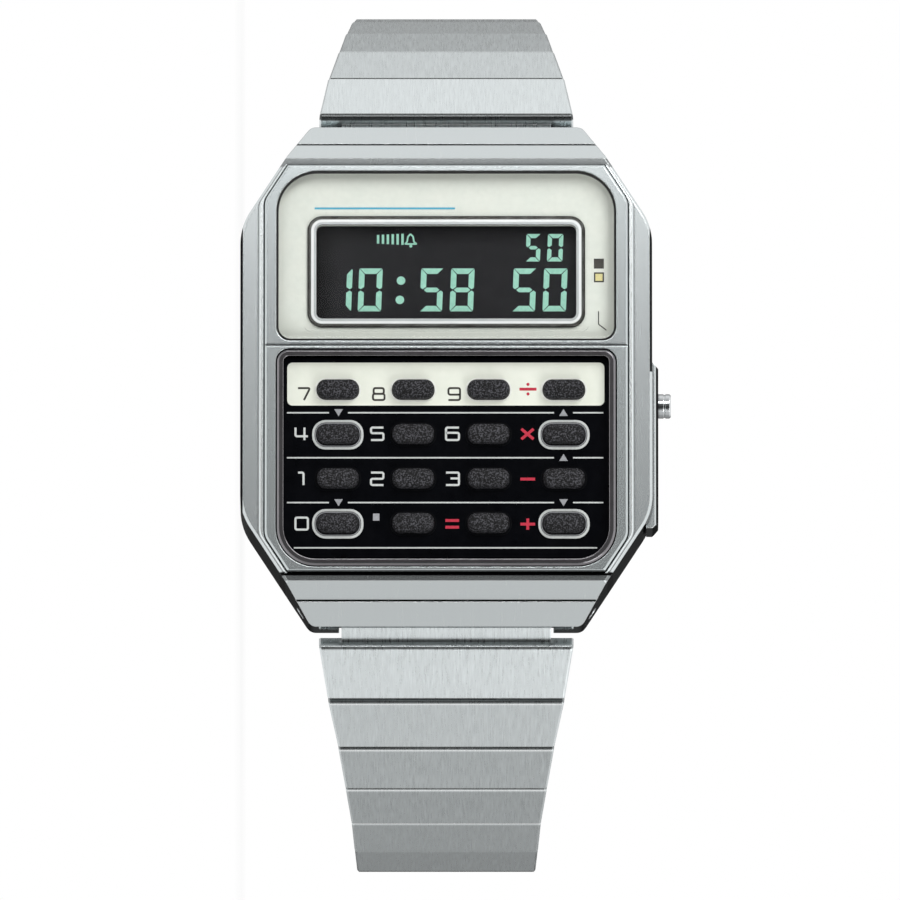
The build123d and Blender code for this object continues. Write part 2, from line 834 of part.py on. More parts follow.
def band(low, high, start, stop):
    """Side view of a curved strip between two heights and two angles."""
    middle = (start + stop) / 2
    with BuildSketch(FLANK) as strip:
        with BuildLine():
            ThreePointArc(clasp_point(high, start), clasp_point(high, middle), clasp_point(high, stop))
            Line(clasp_point(high, stop), clasp_point(low, stop))
            ThreePointArc(clasp_point(low, stop), clasp_point(low, middle), clasp_point(low, start))
            Line(clasp_point(low, start), clasp_point(high, start))
        make_face()
    return strip.sketch


cover_angle = inset_angle(plate_start)
cover_pivot = clasp_point(cover_pivot_height, inset_angle(cover_pivot_inset))
fold_angle = inset_angle(fold_pivot_inset)
fold_pivot = clasp_point(fold_pivot_height, -fold_angle)
cover_section = link_section(TWELVE, pivots[-1], math.degrees(math.pi - pivot_angle))
end_section = Plane(origin=(last_x, last_y, 0), x_dir=(math.cos(pivot_angle), -math.sin(pivot_angle), 0),
                    z_dir=(0, 0, 1))

with BuildPart() as clasp_cover:
    extrude(band(-cover_drop, cover_outer, -cover_angle, cover_angle), amount=cover_half_width, both=True)
    outside = clasp_cover.faces().filter_by(GeomType.CYLINDER).sort_by(Axis.Y)[-1]
    chamfer(outside.edges(), cover_round)
    extrude(
        band(-cover_drop - overrun, cover_inner, -inset_angle(plate_start + cover_end_wall),
             cover_angle + overrun / clasp_radius),
        amount=cover_half_width - cover_wall, both=True, mode=Mode.SUBTRACT,
    )
    extrude(tongue(cover_section, barrel_radius, plate_start + cover_end_wall), amount=tongue_half_width,
            both=True)
    extrude(section_disc(cover_section, pin_radius + running_fit, 0), amount=case_width, both=True,
            mode=Mode.SUBTRACT)
    extrude(flank_disc(0, blade_pin_radius + running_fit, cover_pivot), amount=case_width, both=True,
            mode=Mode.SUBTRACT)
    extrude(section_disc(cover_section, pin_radius, 0), amount=link_widths[-1] / 2 - pin_inset, both=True)
save(clasp_cover.part, "clasp_cover")

relief_angle = knuckle_relief / clasp_radius
with BuildPart() as clasp_middle_blade:
    extrude(
        band(middle_low, middle_high, -fold_angle, inset_angle(cover_pivot_inset)),
        amount=blade_half_width, both=True,
    )
    extrude(flank_disc(0, knuckle_radius, cover_pivot), amount=blade_half_width, both=True)
    extrude(flank_disc(0, knuckle_radius, fold_pivot), amount=blade_half_width, both=True)
    extrude(
        band(end_low, cover_inner, -fold_angle - relief_angle, -fold_angle + relief_angle),
        amount=knuckle_half_width + knuckle_side_gap, both=True, mode=Mode.SUBTRACT,
    )
    for pivot in (cover_pivot, fold_pivot):
        extrude(flank_disc(0, blade_pin_radius + running_fit, pivot), amount=case_width, both=True,
                mode=Mode.SUBTRACT)
    extrude(flank_disc(0, blade_pin_radius, cover_pivot), amount=cover_half_width - part_gap, both=True)
save(clasp_middle_blade.part, "clasp_middle_blade")

# The end blade's rolled nose lies beside the end pin of the lower bracelet, where the real one turns on it
neck_start = cover_pivot_inset - knuckle_radius
nose_reach = pin_radius + nose_gap + nose_radius
nose_x = -nose_reach * math.cos(math.radians(nose_dip_deg))
nose_y = -nose_reach * math.sin(math.radians(nose_dip_deg))
neck_turn = math.atan2(nose_y - (end_low + end_high) / 2, nose_x + neck_start)
neck_side_x, neck_side_y = nose_radius * math.sin(neck_turn), nose_radius * math.cos(neck_turn)
with BuildPart() as clasp_end_blade:
    extrude(
        band(end_low, end_high, -fold_angle + relief_angle, inset_angle(neck_start)),
        amount=end_blade_half_width, both=True,
    )
    extrude(
        band(end_low, end_high, -fold_angle, -fold_angle + 2 * relief_angle),
        amount=knuckle_half_width, both=True,
    )
    extrude(flank_disc(0, knuckle_radius, fold_pivot), amount=knuckle_half_width, both=True)
    with BuildSketch(end_section):
        with Locations((nose_x, nose_y)):
            Circle(nose_radius)
        with BuildLine():
            Polyline(
                (-neck_start, end_low), (nose_x + neck_side_x, nose_y - neck_side_y),
                (nose_x - neck_side_x, nose_y + neck_side_y), (-neck_start, end_high), close=True,
            )
        make_face()
    extrude(amount=end_blade_half_width, both=True)
    extrude(flank_disc(0, blade_pin_radius + running_fit, fold_pivot), amount=case_width, both=True,
            mode=Mode.SUBTRACT)
    extrude(flank_disc(0, blade_pin_radius, fold_pivot), amount=blade_half_width - part_gap, both=True)
save(clasp_end_blade.part, "clasp_end_blade")
print("cover pivot", cover_pivot, "fold pivot", fold_pivot)
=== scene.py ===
# %% [markdown]
# # A calculator watch, dressed for its portrait
# The solid model of the watch is already exact: case, bezel plate, keys, every link and the folding clasp. This
# lesson gives it its looks. It loads the solids, paints each of them, makes the small things that a watchmaker
# prints or moulds (legends, rings round the keys, display segments, grained key caps), and then sets up a studio.
# Everything is in metres. X runs from 12 o'clock to 6 o'clock, Y from the dial into the wrist loop, and Z from
# 9 o'clock to 3 o'clock, because the closed watch lies on its left flank.

# %% Load the solids
import math

import bmesh
import bpy
from mathutils import Matrix, Vector


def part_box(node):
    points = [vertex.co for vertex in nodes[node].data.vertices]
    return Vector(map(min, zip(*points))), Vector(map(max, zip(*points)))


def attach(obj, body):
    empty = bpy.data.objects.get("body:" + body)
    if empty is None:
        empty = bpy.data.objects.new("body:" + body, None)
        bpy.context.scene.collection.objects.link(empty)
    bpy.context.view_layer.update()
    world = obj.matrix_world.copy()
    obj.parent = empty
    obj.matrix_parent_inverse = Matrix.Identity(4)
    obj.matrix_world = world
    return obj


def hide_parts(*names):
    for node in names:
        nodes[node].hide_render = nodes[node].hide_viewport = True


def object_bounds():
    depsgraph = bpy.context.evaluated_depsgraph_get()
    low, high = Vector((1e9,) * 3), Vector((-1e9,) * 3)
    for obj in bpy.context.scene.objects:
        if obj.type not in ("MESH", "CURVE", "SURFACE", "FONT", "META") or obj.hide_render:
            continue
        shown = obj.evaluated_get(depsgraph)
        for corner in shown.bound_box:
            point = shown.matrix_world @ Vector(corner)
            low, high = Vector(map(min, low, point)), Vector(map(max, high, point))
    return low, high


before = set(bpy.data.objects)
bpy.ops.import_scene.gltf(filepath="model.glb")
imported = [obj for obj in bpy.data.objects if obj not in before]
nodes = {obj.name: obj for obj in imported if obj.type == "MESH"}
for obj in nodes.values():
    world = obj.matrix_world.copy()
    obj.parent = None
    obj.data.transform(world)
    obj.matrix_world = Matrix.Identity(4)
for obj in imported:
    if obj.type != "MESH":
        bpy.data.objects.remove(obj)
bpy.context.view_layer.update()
MM = 0.001

# %% [markdown]
# ## Reading places off the dial
# Legends and segments were measured on a picture of the dial that shows 11.98 pixels for each millimetre. The
# watch leans back by about 11.5 degrees there, so a surface that lies deeper appears a little lower. The helpers
# turn a pixel into a place on the dial, a place on the dial into the frame of the solids, and a solid's box into
# its outline on the dial.

# %% Dial coordinates
LEAN = math.radians(11.5)
PIXELS_X = 11.98
PIXELS_Y = PIXELS_X * math.cos(LEAN)
PIXELS_DEEP = PIXELS_X * math.sin(LEAN)
MIDDLE_X, MIDDLE_Y = 446.3, 368.0  # the pixel at the middle of the dial
FRONT = -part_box("bezel_plate")[0].y / MM
PLATE_TOP = -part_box("keypad_plate")[0].y / MM
PANEL_TOP = -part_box("face_panel")[0].y / MM
CELL_TOP = -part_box("lcd_cell")[0].y / MM


def dial_x(pixel):
    return (pixel - MIDDLE_X) / PIXELS_X


def dial_y(pixel, height):
    """Place towards 12 o'clock of a pixel row, for a surface at this height above the case back."""
    return (MIDDLE_Y + PIXELS_DEEP * (FRONT - height) - pixel) / PIXELS_Y


def place(x, y, height):
    """A point of the dial, in millimetres, as a point of the frame, in metres."""
    return Vector((-y, -height, x)) * MM


def dial_box(name, inset=0.0):
    """A solid's left, right, foot and head on the dial, moved inwards by an inset, in millimetres."""
    low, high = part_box(name)
    return low.z / MM + inset, high.z / MM - inset, -high.x / MM + inset, -low.x / MM - inset


DIAL = Matrix(((0, -1, 0, 0), (0, 0, -1, 0), (1, 0, 0, 0), (0, 0, 0, 1)))
print("front", round(FRONT, 2), "keypad plate", round(PLATE_TOP, 2), "face panel", round(PANEL_TOP, 2))

# %% [markdown]
# ## The camera first
# The dial nearly faces the camera, which stands far off with a long lens, so the bracelet hardly narrows with
# distance. The picture's right is the frame's +Z, and its top is 12 o'clock, tipped back by the lean.

# %% Camera
view_line = Vector((-math.sin(LEAN), math.cos(LEAN), 0))
view_up = Vector((-math.cos(LEAN), -math.sin(LEAN), 0))
view_right = Vector((0, 0, 1))
stand_off = 3300.0
picture_right, picture_up = 0.31, -6.88  # the picture's middle, seen from the middle of the dial
camera_data = bpy.data.cameras.new("watch_camera")
camera_data.sensor_width = 36
camera_data.lens = PIXELS_X * 36 / 900 * stand_off
camera = bpy.data.objects.new("watch_camera", camera_data)
bpy.context.scene.collection.objects.link(camera)
aim = Vector((0, -FRONT, 0)) + picture_right * view_right + picture_up * view_up
turn = Matrix((view_right, view_up, -view_line)).transposed().to_4x4()
camera.matrix_world = Matrix.Translation((aim - stand_off * view_line) * MM) @ turn
camera_data.clip_start, camera_data.clip_end = 0.1, 30
bpy.context.scene.camera = camera
print("lens", round(camera_data.lens, 1), "mm")

# %% [markdown]
# ## Colours
# A colour is written here as it looks on screen, three numbers from 0 to 255. A shader counts light instead, so the
# first helper converts. The second makes a tone darker or lighter, as a grain needs.

# %% Colour helpers


def srgb(red, green, blue):
    """A colour as seen on screen, from 0 to 255, as the linear colour that a shader takes."""
    return tuple(
        c / 12.92 if c <= 0.04045 else ((c + 0.055) / 1.055) ** 2.4 for c in (red / 255, green / 255, blue / 255)
    ) + (1.0,)


def toned(tone, share=1.0, shift=0):
    """A tone scaled by a share and moved by a shift, as a shader's colour."""
    return srgb(*(max(0, min(255, c * share + shift)) for c in tone))


WHITE = srgb(255, 255, 255)
# The dark tone of painted shade in crevices and joints.
CREVICE_SHADE = srgb(14, 15, 17)
print("crevice_shade", [round(level, 4) for level in CREVICE_SHADE])

# %% [markdown]
# ## A kit for node trees
# A finish is a small graph of nodes, and so are the surroundings. Wiring each node by hand would hide the idea
# behind a finish, so this class has one short method for each step: arithmetic, ramps, mixes. A step takes sockets
# or plain numbers. Numbers that are the same all over a surface are typed straight into the shader's own sockets,
# because an export drops some of them when they come through a node.

# %% Graph kit


class Graph:
    """Nodes under construction in one tree, and a few ways to wire them."""

    def __init__(self, tree):
        self.tree = tree

    def node(self, kind, **settings):
        made = self.tree.nodes.new(kind)
        for key, value in settings.items():
            setattr(made, key, value)
        return made

    def feed(self, source, target):
        """Link a socket to the target, or type a number or colour into it."""
        if isinstance(source, bpy.types.NodeSocket):
            self.tree.links.new(source, target)
        else:
            target.default_value = source

    def math(self, operation, *values, clamp=False):
        step = self.node("ShaderNodeMath", operation=operation, use_clamp=clamp)
        for value, target in zip(values, step.inputs):
            self.feed(value, target)
        return step.outputs["Value"]

    def combine(self, operation, *shares):
        """Several shares multiplied, or added up to 1 at most."""
        result = shares[0]
        for share in shares[1:]:
            result = self.math(operation, result, share, clamp=True)
        return result

    def split(self, vector):
        """A vector's X, Y and Z."""
        parts = self.node("ShaderNodeSeparateXYZ")
        self.feed(vector, parts.inputs["Vector"])
        return parts.outputs

    def length(self, vector):
        reach = self.node("ShaderNodeVectorMath", operation="LENGTH")
        self.feed(vector, reach.inputs[0])
        return reach.outputs["Value"]

    def span(self, value, low, high, start=0.3, stop=0.7):
        """The value, remapped from start..stop to low..high."""
        remap = self.node("ShaderNodeMapRange")
        for key, number in (("From Min", start), ("From Max", stop), ("To Min", low), ("To Max", high)):
            remap.inputs[key].default_value = number
        self.feed(value, remap.inputs["Value"])
        return remap.outputs["Result"]

    def ramp(self, value, stops):
        """Colours along a value from 0 to 1; each stop is a place and its colour."""
        ramp = self.node("ShaderNodeValToRGB")
        while len(ramp.color_ramp.elements) < len(stops):
            ramp.color_ramp.elements.new(0.5)
        for element, (where, colour) in zip(ramp.color_ramp.elements, stops):
            element.position, element.color = where, colour
        self.feed(value, ramp.inputs["Fac"])
        return ramp.outputs["Color"]

    def mix(self, factor, first, second):
        """Two colours mixed."""
        mix = self.node("ShaderNodeMix", data_type="RGBA")
        for source, number in ((factor, 0), (first, 6), (second, 7)):
            self.feed(source, mix.inputs[number])
        return mix.outputs[2]

    def blend(self, factor, first, second):
        """Two numbers mixed."""
        mix = self.node("ShaderNodeMix", data_type="FLOAT")
        for source, number in ((factor, 0), (first, 2), (second, 3)):
            self.feed(source, mix.inputs[number])
        return mix.outputs[0]

    def shown(self):
        """1 for rays that show a background: from the camera, off metal and through glass."""
        path = self.node("ShaderNodeLightPath").outputs
        return self.combine("ADD", path["Is Camera Ray"], path["Is Glossy Ray"], path["Is Transmission Ray"])

    def surface(self, share, first, second, output="Material Output"):
        """Two shaders mixed and led to the tree's output."""
        mix = self.node("ShaderNodeMixShader")
        for source, target in zip((share, first, second), mix.inputs):
            self.feed(source, target)
        self.feed(mix.outputs["Shader"], self.tree.nodes[output].inputs["Surface"])


print("graph kit ready")

# %% [markdown]
# ## A kit for finishes
# This class adds what belongs to a material: its Principled shader, noise, relief, and shares from 0 to 1 that
# say where a surface is an edge, a flank or a lip. All places are Object coordinates, so a pattern stays put when
# its piece moves. Directions come from the surface itself and never from the camera, so nothing slides in another
# view. A real edge is never quite sharp, so Bevel nodes round the normals there.

# %% Finish kit


class Finish(Graph):
    """A material under construction: its shader, and the places and directions on its surface."""

    def __init__(self, name, roughness, metallic=0.0):
        self.material = bpy.data.materials.new(name)
        self.material.use_nodes = True
        super().__init__(self.material.node_tree)
        self.shader = self.tree.nodes["Principled BSDF"]
        self.shader.inputs["Roughness"].default_value = roughness
        self.shader.inputs["Metallic"].default_value = metallic
        own = self.node("ShaderNodeTexCoord").outputs
        self.place, self.direction = own["Object"], own["Normal"]

    def noise(self, scale, detail=3.0):
        """Noise in features per metre: one number, or one along each axis."""
        mapping = self.node("ShaderNodeMapping")
        mapping.inputs["Scale"].default_value = scale if isinstance(scale, tuple) else (scale,) * 3
        self.feed(self.place, mapping.inputs["Vector"])
        noise = self.node("ShaderNodeTexNoise")
        noise.inputs["Scale"].default_value = 1.0
        noise.inputs["Detail"].default_value = detail
        noise.inputs["Roughness"].default_value = 0.6
        self.feed(mapping.outputs["Vector"], noise.inputs["Vector"])
        return noise.outputs["Fac"]

    def bump(self, value, distance, strength, soften=0.0):
        """Relief from a value, over edges that are rounded by soften metres."""
        bump = self.node("ShaderNodeBump")
        bump.inputs["Distance"].default_value = distance
        bump.inputs["Strength"].default_value = strength
        self.feed(value, bump.inputs["Height"])
        if soften:
            bevel = self.node("ShaderNodeBevel", samples=6)
            bevel.inputs["Radius"].default_value = soften
            self.feed(bevel.outputs["Normal"], bump.inputs["Normal"])
        self.feed(bump.outputs["Normal"], self.shader.inputs["Normal"])

    def colour(self, source):
        self.feed(source, self.shader.inputs["Base Color"])

    def crevice(self, source, reach=4e-4, start=0.2, stop=0.75):
        """The colour, darkened where other surfaces stand close by: painted shade in a joint."""
        near = self.node("ShaderNodeAmbientOcclusion", samples=8)
        self.feed(reach, near.inputs["Distance"])
        return self.mix(self.span(near.outputs["AO"], 0.0, 1.0, start, stop), CREVICE_SHADE, source)

    def edge(self, reach=1e-4):
        """1 on a sharp outer edge and 0 away from it."""
        rounded = self.node("ShaderNodeBevel", samples=6)
        rounded.inputs["Radius"].default_value = reach
        flat = self.node("ShaderNodeNewGeometry")
        agree = self.node("ShaderNodeVectorMath", operation="DOT_PRODUCT")
        self.feed(rounded.outputs["Normal"], agree.inputs[0])
        self.feed(flat.outputs["True Normal"], agree.inputs[1])
        return self.span(agree.outputs["Value"], 1.0, 0.0, 0.8, 0.985)

    def ends(self, where, fade=0.05):
        """0 along the middle of the watch and 1 past a place, in millimetres, towards 12 and 6 o'clock."""
        away = self.math("ABSOLUTE", self.split(self.place)["X"])
        return self.span(away, 0.0, 1.0, (where - fade) * MM, (where + fade) * MM)

    def flank(self):
        """1 where the surface stands upright on the case back and 0 where it turns towards the dial."""
        normal = self.node("ShaderNodeNewGeometry").outputs["True Normal"]
        return self.span(self.math("ABSOLUTE", self.split(normal)["Y"]), 1.0, 0.0, 0.05, 0.2)

    def dialward(self):
        """1 on surfaces that turn towards the dial's side, where Y is low."""
        return self.span(self.split(self.direction)["Y"], 1.0, 0.0, -0.6, -0.45)

    def lip(self, start, stop):
        """1 on the dial's side where the surface's direction along the watch lies between two values."""
        along = self.split(self.direction)["X"]
        rise = self.span(along, 0.0, 1.0, start, start + 0.12)
        fall = self.span(along, 1.0, 0.0, stop - 0.1, stop)
        return self.combine("MULTIPLY", rise, fall, self.dialward())

    def band(self, axis, start, stop, fade=0.02):
        """1 on the dial's side between two places along an axis, in millimetres."""
        along = self.split(self.place)[axis]
        rise = self.span(along, 0.0, 1.0, (start - fade) * MM, (start + fade) * MM)
        fall = self.span(along, 1.0, 0.0, (stop - fade) * MM, (stop + fade) * MM)
        return self.combine("MULTIPLY", rise, fall, self.dialward())

    def inside(self, left, right, foot, head, radius):
        """How far a point lies inside a rounded rectangle of the dial, up to its radius, in millimetres."""
        middle = place((left + right) / 2, (foot + head) / 2, 0)
        half = Vector(((head - foot) / 2 - radius, 1000, (right - left) / 2 - radius)) * MM
        source = self.place
        for operation, *vector in (("SUBTRACT", middle), ("ABSOLUTE",), ("SUBTRACT", half), ("MAXIMUM", (0, 0, 0))):
            step = self.node("ShaderNodeVectorMath", operation=operation)
            for value, target in zip((source, *vector), step.inputs):
                self.feed(value, target)
            source = step.outputs["Vector"]
        return self.span(self.length(source), radius, 0.0, 0.0, radius * MM)


print("finish kit ready")

# %% [markdown]
# ## Brushed steel
# The links, the clasp and the case back are brushed with abrasive belts, which leaves thousands of fine scratches
# that run from 12 to 6 o'clock. An image of scratches would smear or repeat. A noise that is very long along X and
# Y and very fine along Z does neither: it varies colour and roughness and lifts a slight relief. The case and the
# plate on its front are polished so finely that their scratches hardly show.
#
# In a smooth edge one sees what it mirrors, and a photographer's dark and bright cards draw thin lines there. A
# plain studio has no such cards, so the finish holds those lines as painted reflections and highlights: bands
# between two places, and lips where the surface turns. They lie on the metal and so stay where they are in every
# view. The finish also paints shade into crevices, and paints edges brighter as wear and a painted highlight.

# %% Brushed steel
PLATE_END, LEDGE_START = 17.25, 18.0
# Each dark line of the case is a band, in millimetres, or two bands that cross: painted reflections of a dark
# studio in the polished bevels, and painted shade in the groove beside the plate.
PAINTED_CASE_LINES = (
    [("Z", -17.4, -16.99)],  # the left edge
    [("Z", 16.99, 17.19), ("X", -17.0, 0.2)],  # the right edge above the guard boss
    [("Z", 17.5, 17.9)],  # the guard boss
    [("X", 17.3, 17.57)],  # the foot below the plate, at 6 o'clock
    [("Y", -6.9, -6.45), ("X", -17.2, 17.2)],  # the groove beside the plate
)


def brushed_steel(name, tone, roughness, grain=9000, run=300, contrast=0.05, relief=1.2e-6, reach=4e-4,
                  start=0.2, stop=0.75, soften=5e-5, case=False, lips=(), bands=()):
    """Steel with scratches, grain across them and run along them, in features per metre.

    A band or a lip is a painted reflection or highlight. A band is an axis, a start, a stop and a share of the
    tone, and a lip the same without the axis.
    """
    finish = Finish(name, roughness, metallic=1.0)
    streaks = finish.noise((run, run, grain), detail=4)
    broad = finish.noise((60, 60, 900), detail=2)
    brushed = finish.ramp(streaks, [(0.3, toned(tone, 1 - contrast)), (0.7, toned(tone, 1 + contrast))])
    steel = finish.mix(finish.span(broad, 0.0, 0.5), brushed, toned(tone))
    sheen = finish.span(streaks, roughness - contrast, roughness + contrast)
    if case:
        # Painted shade: past the plate's end the case is darker, and its crevice shade reaches further.
        past_plate = finish.ends(PLATE_END)
        reach = finish.blend(past_plate, 2.5e-4, 7e-4)
        ledge_shade = finish.blend(finish.ends(LEDGE_START), past_plate, 0.0)
        steel = finish.mix(ledge_shade, steel, toned(tone, 0.66))
        sheen = finish.blend(finish.flank(), sheen, 0.09)
    # Edges painted brighter: wear and a painted highlight.
    worn_and_highlit = finish.mix(finish.edge(), steel, toned(tone, shift=38))
    if case:
        # Painted reflections and painted shade: the case's dark lines.
        lines = [finish.combine("MULTIPLY", *(finish.band(*places) for places in line)) for line in PAINTED_CASE_LINES]
        worn_and_highlit = finish.mix(finish.combine("ADD", *lines), worn_and_highlit, srgb(14, 14, 15))
    # Bands and lips: painted reflections and highlights, as shares of the tone.
    for axis, low, high, share in bands:
        worn_and_highlit = finish.mix(finish.band(axis, low, high), worn_and_highlit, srgb(*(c * share for c in tone)))
    for low, high, share in lips:
        worn_and_highlit = finish.mix(finish.lip(low, high), worn_and_highlit, toned(tone, share))
    # Painted shade darkens the colour in crevices and joints.
    finish.colour(finish.crevice(worn_and_highlit, reach, start, stop))
    finish.feed(sheen, finish.shader.inputs["Roughness"])
    finish.bump(streaks, relief, 0.5, soften)
    return finish.material


# The case's band is a painted highlight on the top of the bead, and the plate's band a painted dark reflection at its
# lower end.
case_steel = brushed_steel(
    "case_steel", (214, 220, 221), 0.27, 12000, contrast=0.004, relief=1e-7, start=0.35, stop=0.92, soften=1.2e-4,
    case=True, bands=[("Y", -7.6, -7.41, 1.17)])
plate_steel = brushed_steel(
    "plate_steel", (206, 213, 214), 0.25, 12000, contrast=0.006, relief=1e-7, start=0.35, stop=0.85, soften=1e-4,
    bands=[("X", 17.21, 17.5, 0.55)])
back_steel = brushed_steel("back_steel", (196, 200, 201), 0.36, contrast=0.08)
print("brushed:", [m.name for m in bpy.data.materials])

# %% [markdown]
# ## Steel of the links
# All links are one steel. The few that the camera sees from the front get painted reflections of the studio at
# their rounded lips: dark tones above the case, and grey ones below it with one painted bright line. Four finishes
# hold those painted lips, each as a start and a stop of the surface's direction along the watch and a share of the
# steel's tone.

# %% Steel of the links
LINK_TONE = (222, 228, 229)
link_steel = brushed_steel("link_steel", LINK_TONE, 0.3, contrast=0.06, reach=9e-4, start=0.3, stop=0.88, soften=3e-4)
# Painted reflections and a painted highlight on the links' lips.
lip_steels = {
    name: brushed_steel(name, LINK_TONE, 0.3, run=700, contrast=0.055, reach=reach, start=0.3, stop=0.88,
                        soften=1e-4, lips=lips)
    for name, reach, lips in (
        ("upper_end_steel", 9e-4, [(-0.55, 0.74, 0.42)]), ("upper_steel", 9e-4, [(-0.68, 0.8, 0.4)]),
        ("lower_end_steel", 5e-4, [(-0.7, 0.3, 0.74)]),
        ("lower_steel", 8e-4, [(-0.75, 0.6, 0.66), (0.56, 0.75, 1.15)]),
    )
}
print("lips:", list(lip_steels))

# %% [markdown]
# ## Polished steel
# The rim of the keypad, the pushers, the screws and the coin cell are polished. Polish still has a faint haze,
# which a fine noise in the roughness gives. Its edges are painted brighter, as wear and a painted highlight, and
# its crevices get painted shade.

# %% Polished steel


def polished_steel(name, tone, roughness, soften=5e-5):
    finish = Finish(name, roughness, metallic=1.0)
    haze = finish.noise(700, detail=4)
    polished = finish.ramp(haze, [(0.35, toned(tone, shift=-6)), (0.65, toned(tone))])
    # Edges painted brighter: wear and a painted highlight.
    worn_and_highlit = finish.mix(finish.edge(8e-5), polished, toned(tone, shift=40))
    # Painted shade darkens the colour in crevices and joints.
    finish.colour(finish.crevice(worn_and_highlit))
    finish.feed(finish.span(haze, roughness, roughness + 0.05), finish.shader.inputs["Roughness"])
    finish.bump(haze, 2e-6, 0.3, soften)
    return finish.material


bright_steel = polished_steel("bright_steel", (212, 215, 217), 0.1)
# The rim's dark tone is a painted reflection of the dark studio in front of it.
rim_steel = polished_steel("rim_steel", (140, 138, 141), 0.09, soften=1.2e-4)
buzzer_brass = polished_steel("buzzer_brass", (196, 160, 92), 0.25)
print("metals:", len(bpy.data.materials))

# %% [markdown]
# ## Moulded plastic and rubber
# Moulded parts have an even colour with a fine texture from the mould. One function makes them all, from the
# circuit board to the ink of the legends. The keys are matt rubber with a coarse grain: dark hollows between
# lighter crumbs, with deeper relief, so they get a finish of their own.

# %% Plastic and rubber


def moulded(name, colour, roughness, speckle=3000, contrast=5, relief=3e-6):
    """Moulded plastic: an even colour with a faint texture."""
    finish = Finish(name, roughness)
    grain = finish.noise(speckle)
    finish.colour(finish.ramp(grain, [(0.35, toned(colour, shift=-contrast)), (0.65, toned(colour, shift=contrast))]))
    finish.bump(grain, relief, 0.5)
    return finish.material


def key_rubber_finish():
    finish = Finish("key_rubber", 0.62)
    grain = finish.noise(8000)
    finish.colour(finish.ramp(grain, [(0.4, srgb(3, 3, 4)), (0.5, srgb(22, 22, 24)), (0.62, srgb(82, 82, 87))]))
    finish.bump(grain, 6e-5, 0.9)
    finish.shader.inputs["Specular IOR Level"].default_value = 0.25
    return finish.material


key_rubber = key_rubber_finish()
board_green = moulded("board_green", (24, 92, 58), 0.5, speckle=4000, contrast=12)
module_plastic = moulded("module_plastic", (58, 58, 60), 0.55)
mat_rubber = moulded("mat_rubber", (70, 71, 74), 0.8)
gasket_rubber = moulded("gasket_rubber", (24, 24, 25), 0.7)
print("plastic and rubber ready")

# %% [markdown]
# ## Black plate and cream strip
# The keypad plate is glossy black, and its top strip is printed cream. The strip could be a thin piece of its own,
# as the legends are, but its outline is a plain rounded rectangle, which the material can work out by itself.

# %% Keypad plate


def legend_plate_finish():
    finish = Finish("legend_plate", 0.2)
    finish.shader.inputs["Specular IOR Level"].default_value = 0.06
    cloud = finish.noise(900)
    depth = finish.inside(-13.28, 13.2, dial_y(406, PLATE_TOP), dial_y(363, PLATE_TOP), 0.45)
    strip = finish.math("GREATER_THAN", depth, 1e-4)
    black = finish.ramp(cloud, [(0.3, srgb(3, 4, 7)), (0.7, srgb(8, 9, 13))])
    cream = finish.ramp(cloud, [(0.3, srgb(236, 240, 227)), (0.7, srgb(241, 244, 232))])
    finish.colour(finish.mix(strip, black, cream))
    finish.bump(cloud, 2e-6, 0.3)
    return finish.material


legend_plate = legend_plate_finish()
print("keypad plate ready")

# %% [markdown]
# ## Cream face and silver surround
# The face is satin cream plastic. The frame round the screen is a narrow silver moulding with rounded ribs, too
# narrow to read as shapes from here, so painted highlights and shades of the ribs run across it with the distance
# from its outer edge.

# %% Face and surround


def cream_face_finish():
    """Satin cream plastic, darker along the rim as painted shade, where it curves down under the plate."""
    finish = Finish("cream_face", 0.42)
    grain = finish.noise(2500)
    field = finish.ramp(grain, [(0.35, srgb(224, 228, 218)), (0.65, srgb(229, 233, 223))])
    rim = finish.inside(*dial_box("face_panel"), 3.3)
    # Painted shade along the rim.
    finish.colour(finish.mix(finish.span(rim, 0.0, 1.0, 0.1, 0.9), srgb(221, 225, 214), field))
    finish.bump(grain, 1.5e-6, 0.4)
    return finish.material


def surround_finish():
    """Silver with painted highlights and shade of its ribs, and a dark line of painted shade along the outer edge."""
    finish = Finish("surround_silver", 0.2, metallic=0.5)
    haze = finish.noise(900)
    across = finish.span(finish.inside(*dial_box("screen_surround"), 1.25), 0.0, 1.0, 0.0, 0.8)
    # Painted highlights and shade across the frame.
    silver = finish.ramp(across, [
        (0.0, srgb(52, 50, 44)), (0.34, srgb(50, 48, 42)), (0.44, srgb(242, 244, 243)), (0.62, srgb(236, 239, 238)),
        (0.74, srgb(170, 174, 174)), (0.86, srgb(196, 200, 200)), (0.97, srgb(120, 122, 122)),
    ])
    finish.colour(finish.mix(finish.span(haze, 0.0, 0.12), silver, srgb(200, 204, 204)))
    finish.bump(haze, 1e-6, 0.3, 6e-5)
    return finish.material


cream_face = cream_face_finish()
surround_silver = surround_finish()
print("face and surround ready")

# %% [markdown]
# ## Crystal and screen
# The crystal is a thin window. Real glass in a renderer casts a dark shadow, because shadow rays can't find their
# way through it. So shadow rays and diffuse rays pass, and all other rays see mineral glass. The screen below has
# a dark ground with a painted shadow of the frame, black towards its upper and left edges.

# %% Crystal and screen


def crystal_finish():
    finish = Finish("crystal_glass", 0.02)
    haze = finish.noise(500, detail=2)
    finish.colour(finish.ramp(haze, [(0.3, srgb(250, 252, 252)), (0.7, WHITE)]))
    finish.shader.inputs["IOR"].default_value = 1.2
    finish.shader.inputs["Transmission Weight"].default_value = 1.0
    clear = finish.node("ShaderNodeBsdfTransparent")
    path = finish.node("ShaderNodeLightPath").outputs
    passing = finish.combine("ADD", path["Is Shadow Ray"], path["Is Diffuse Ray"])
    finish.surface(passing, finish.shader.outputs["BSDF"], clear.outputs["BSDF"])
    return finish.material


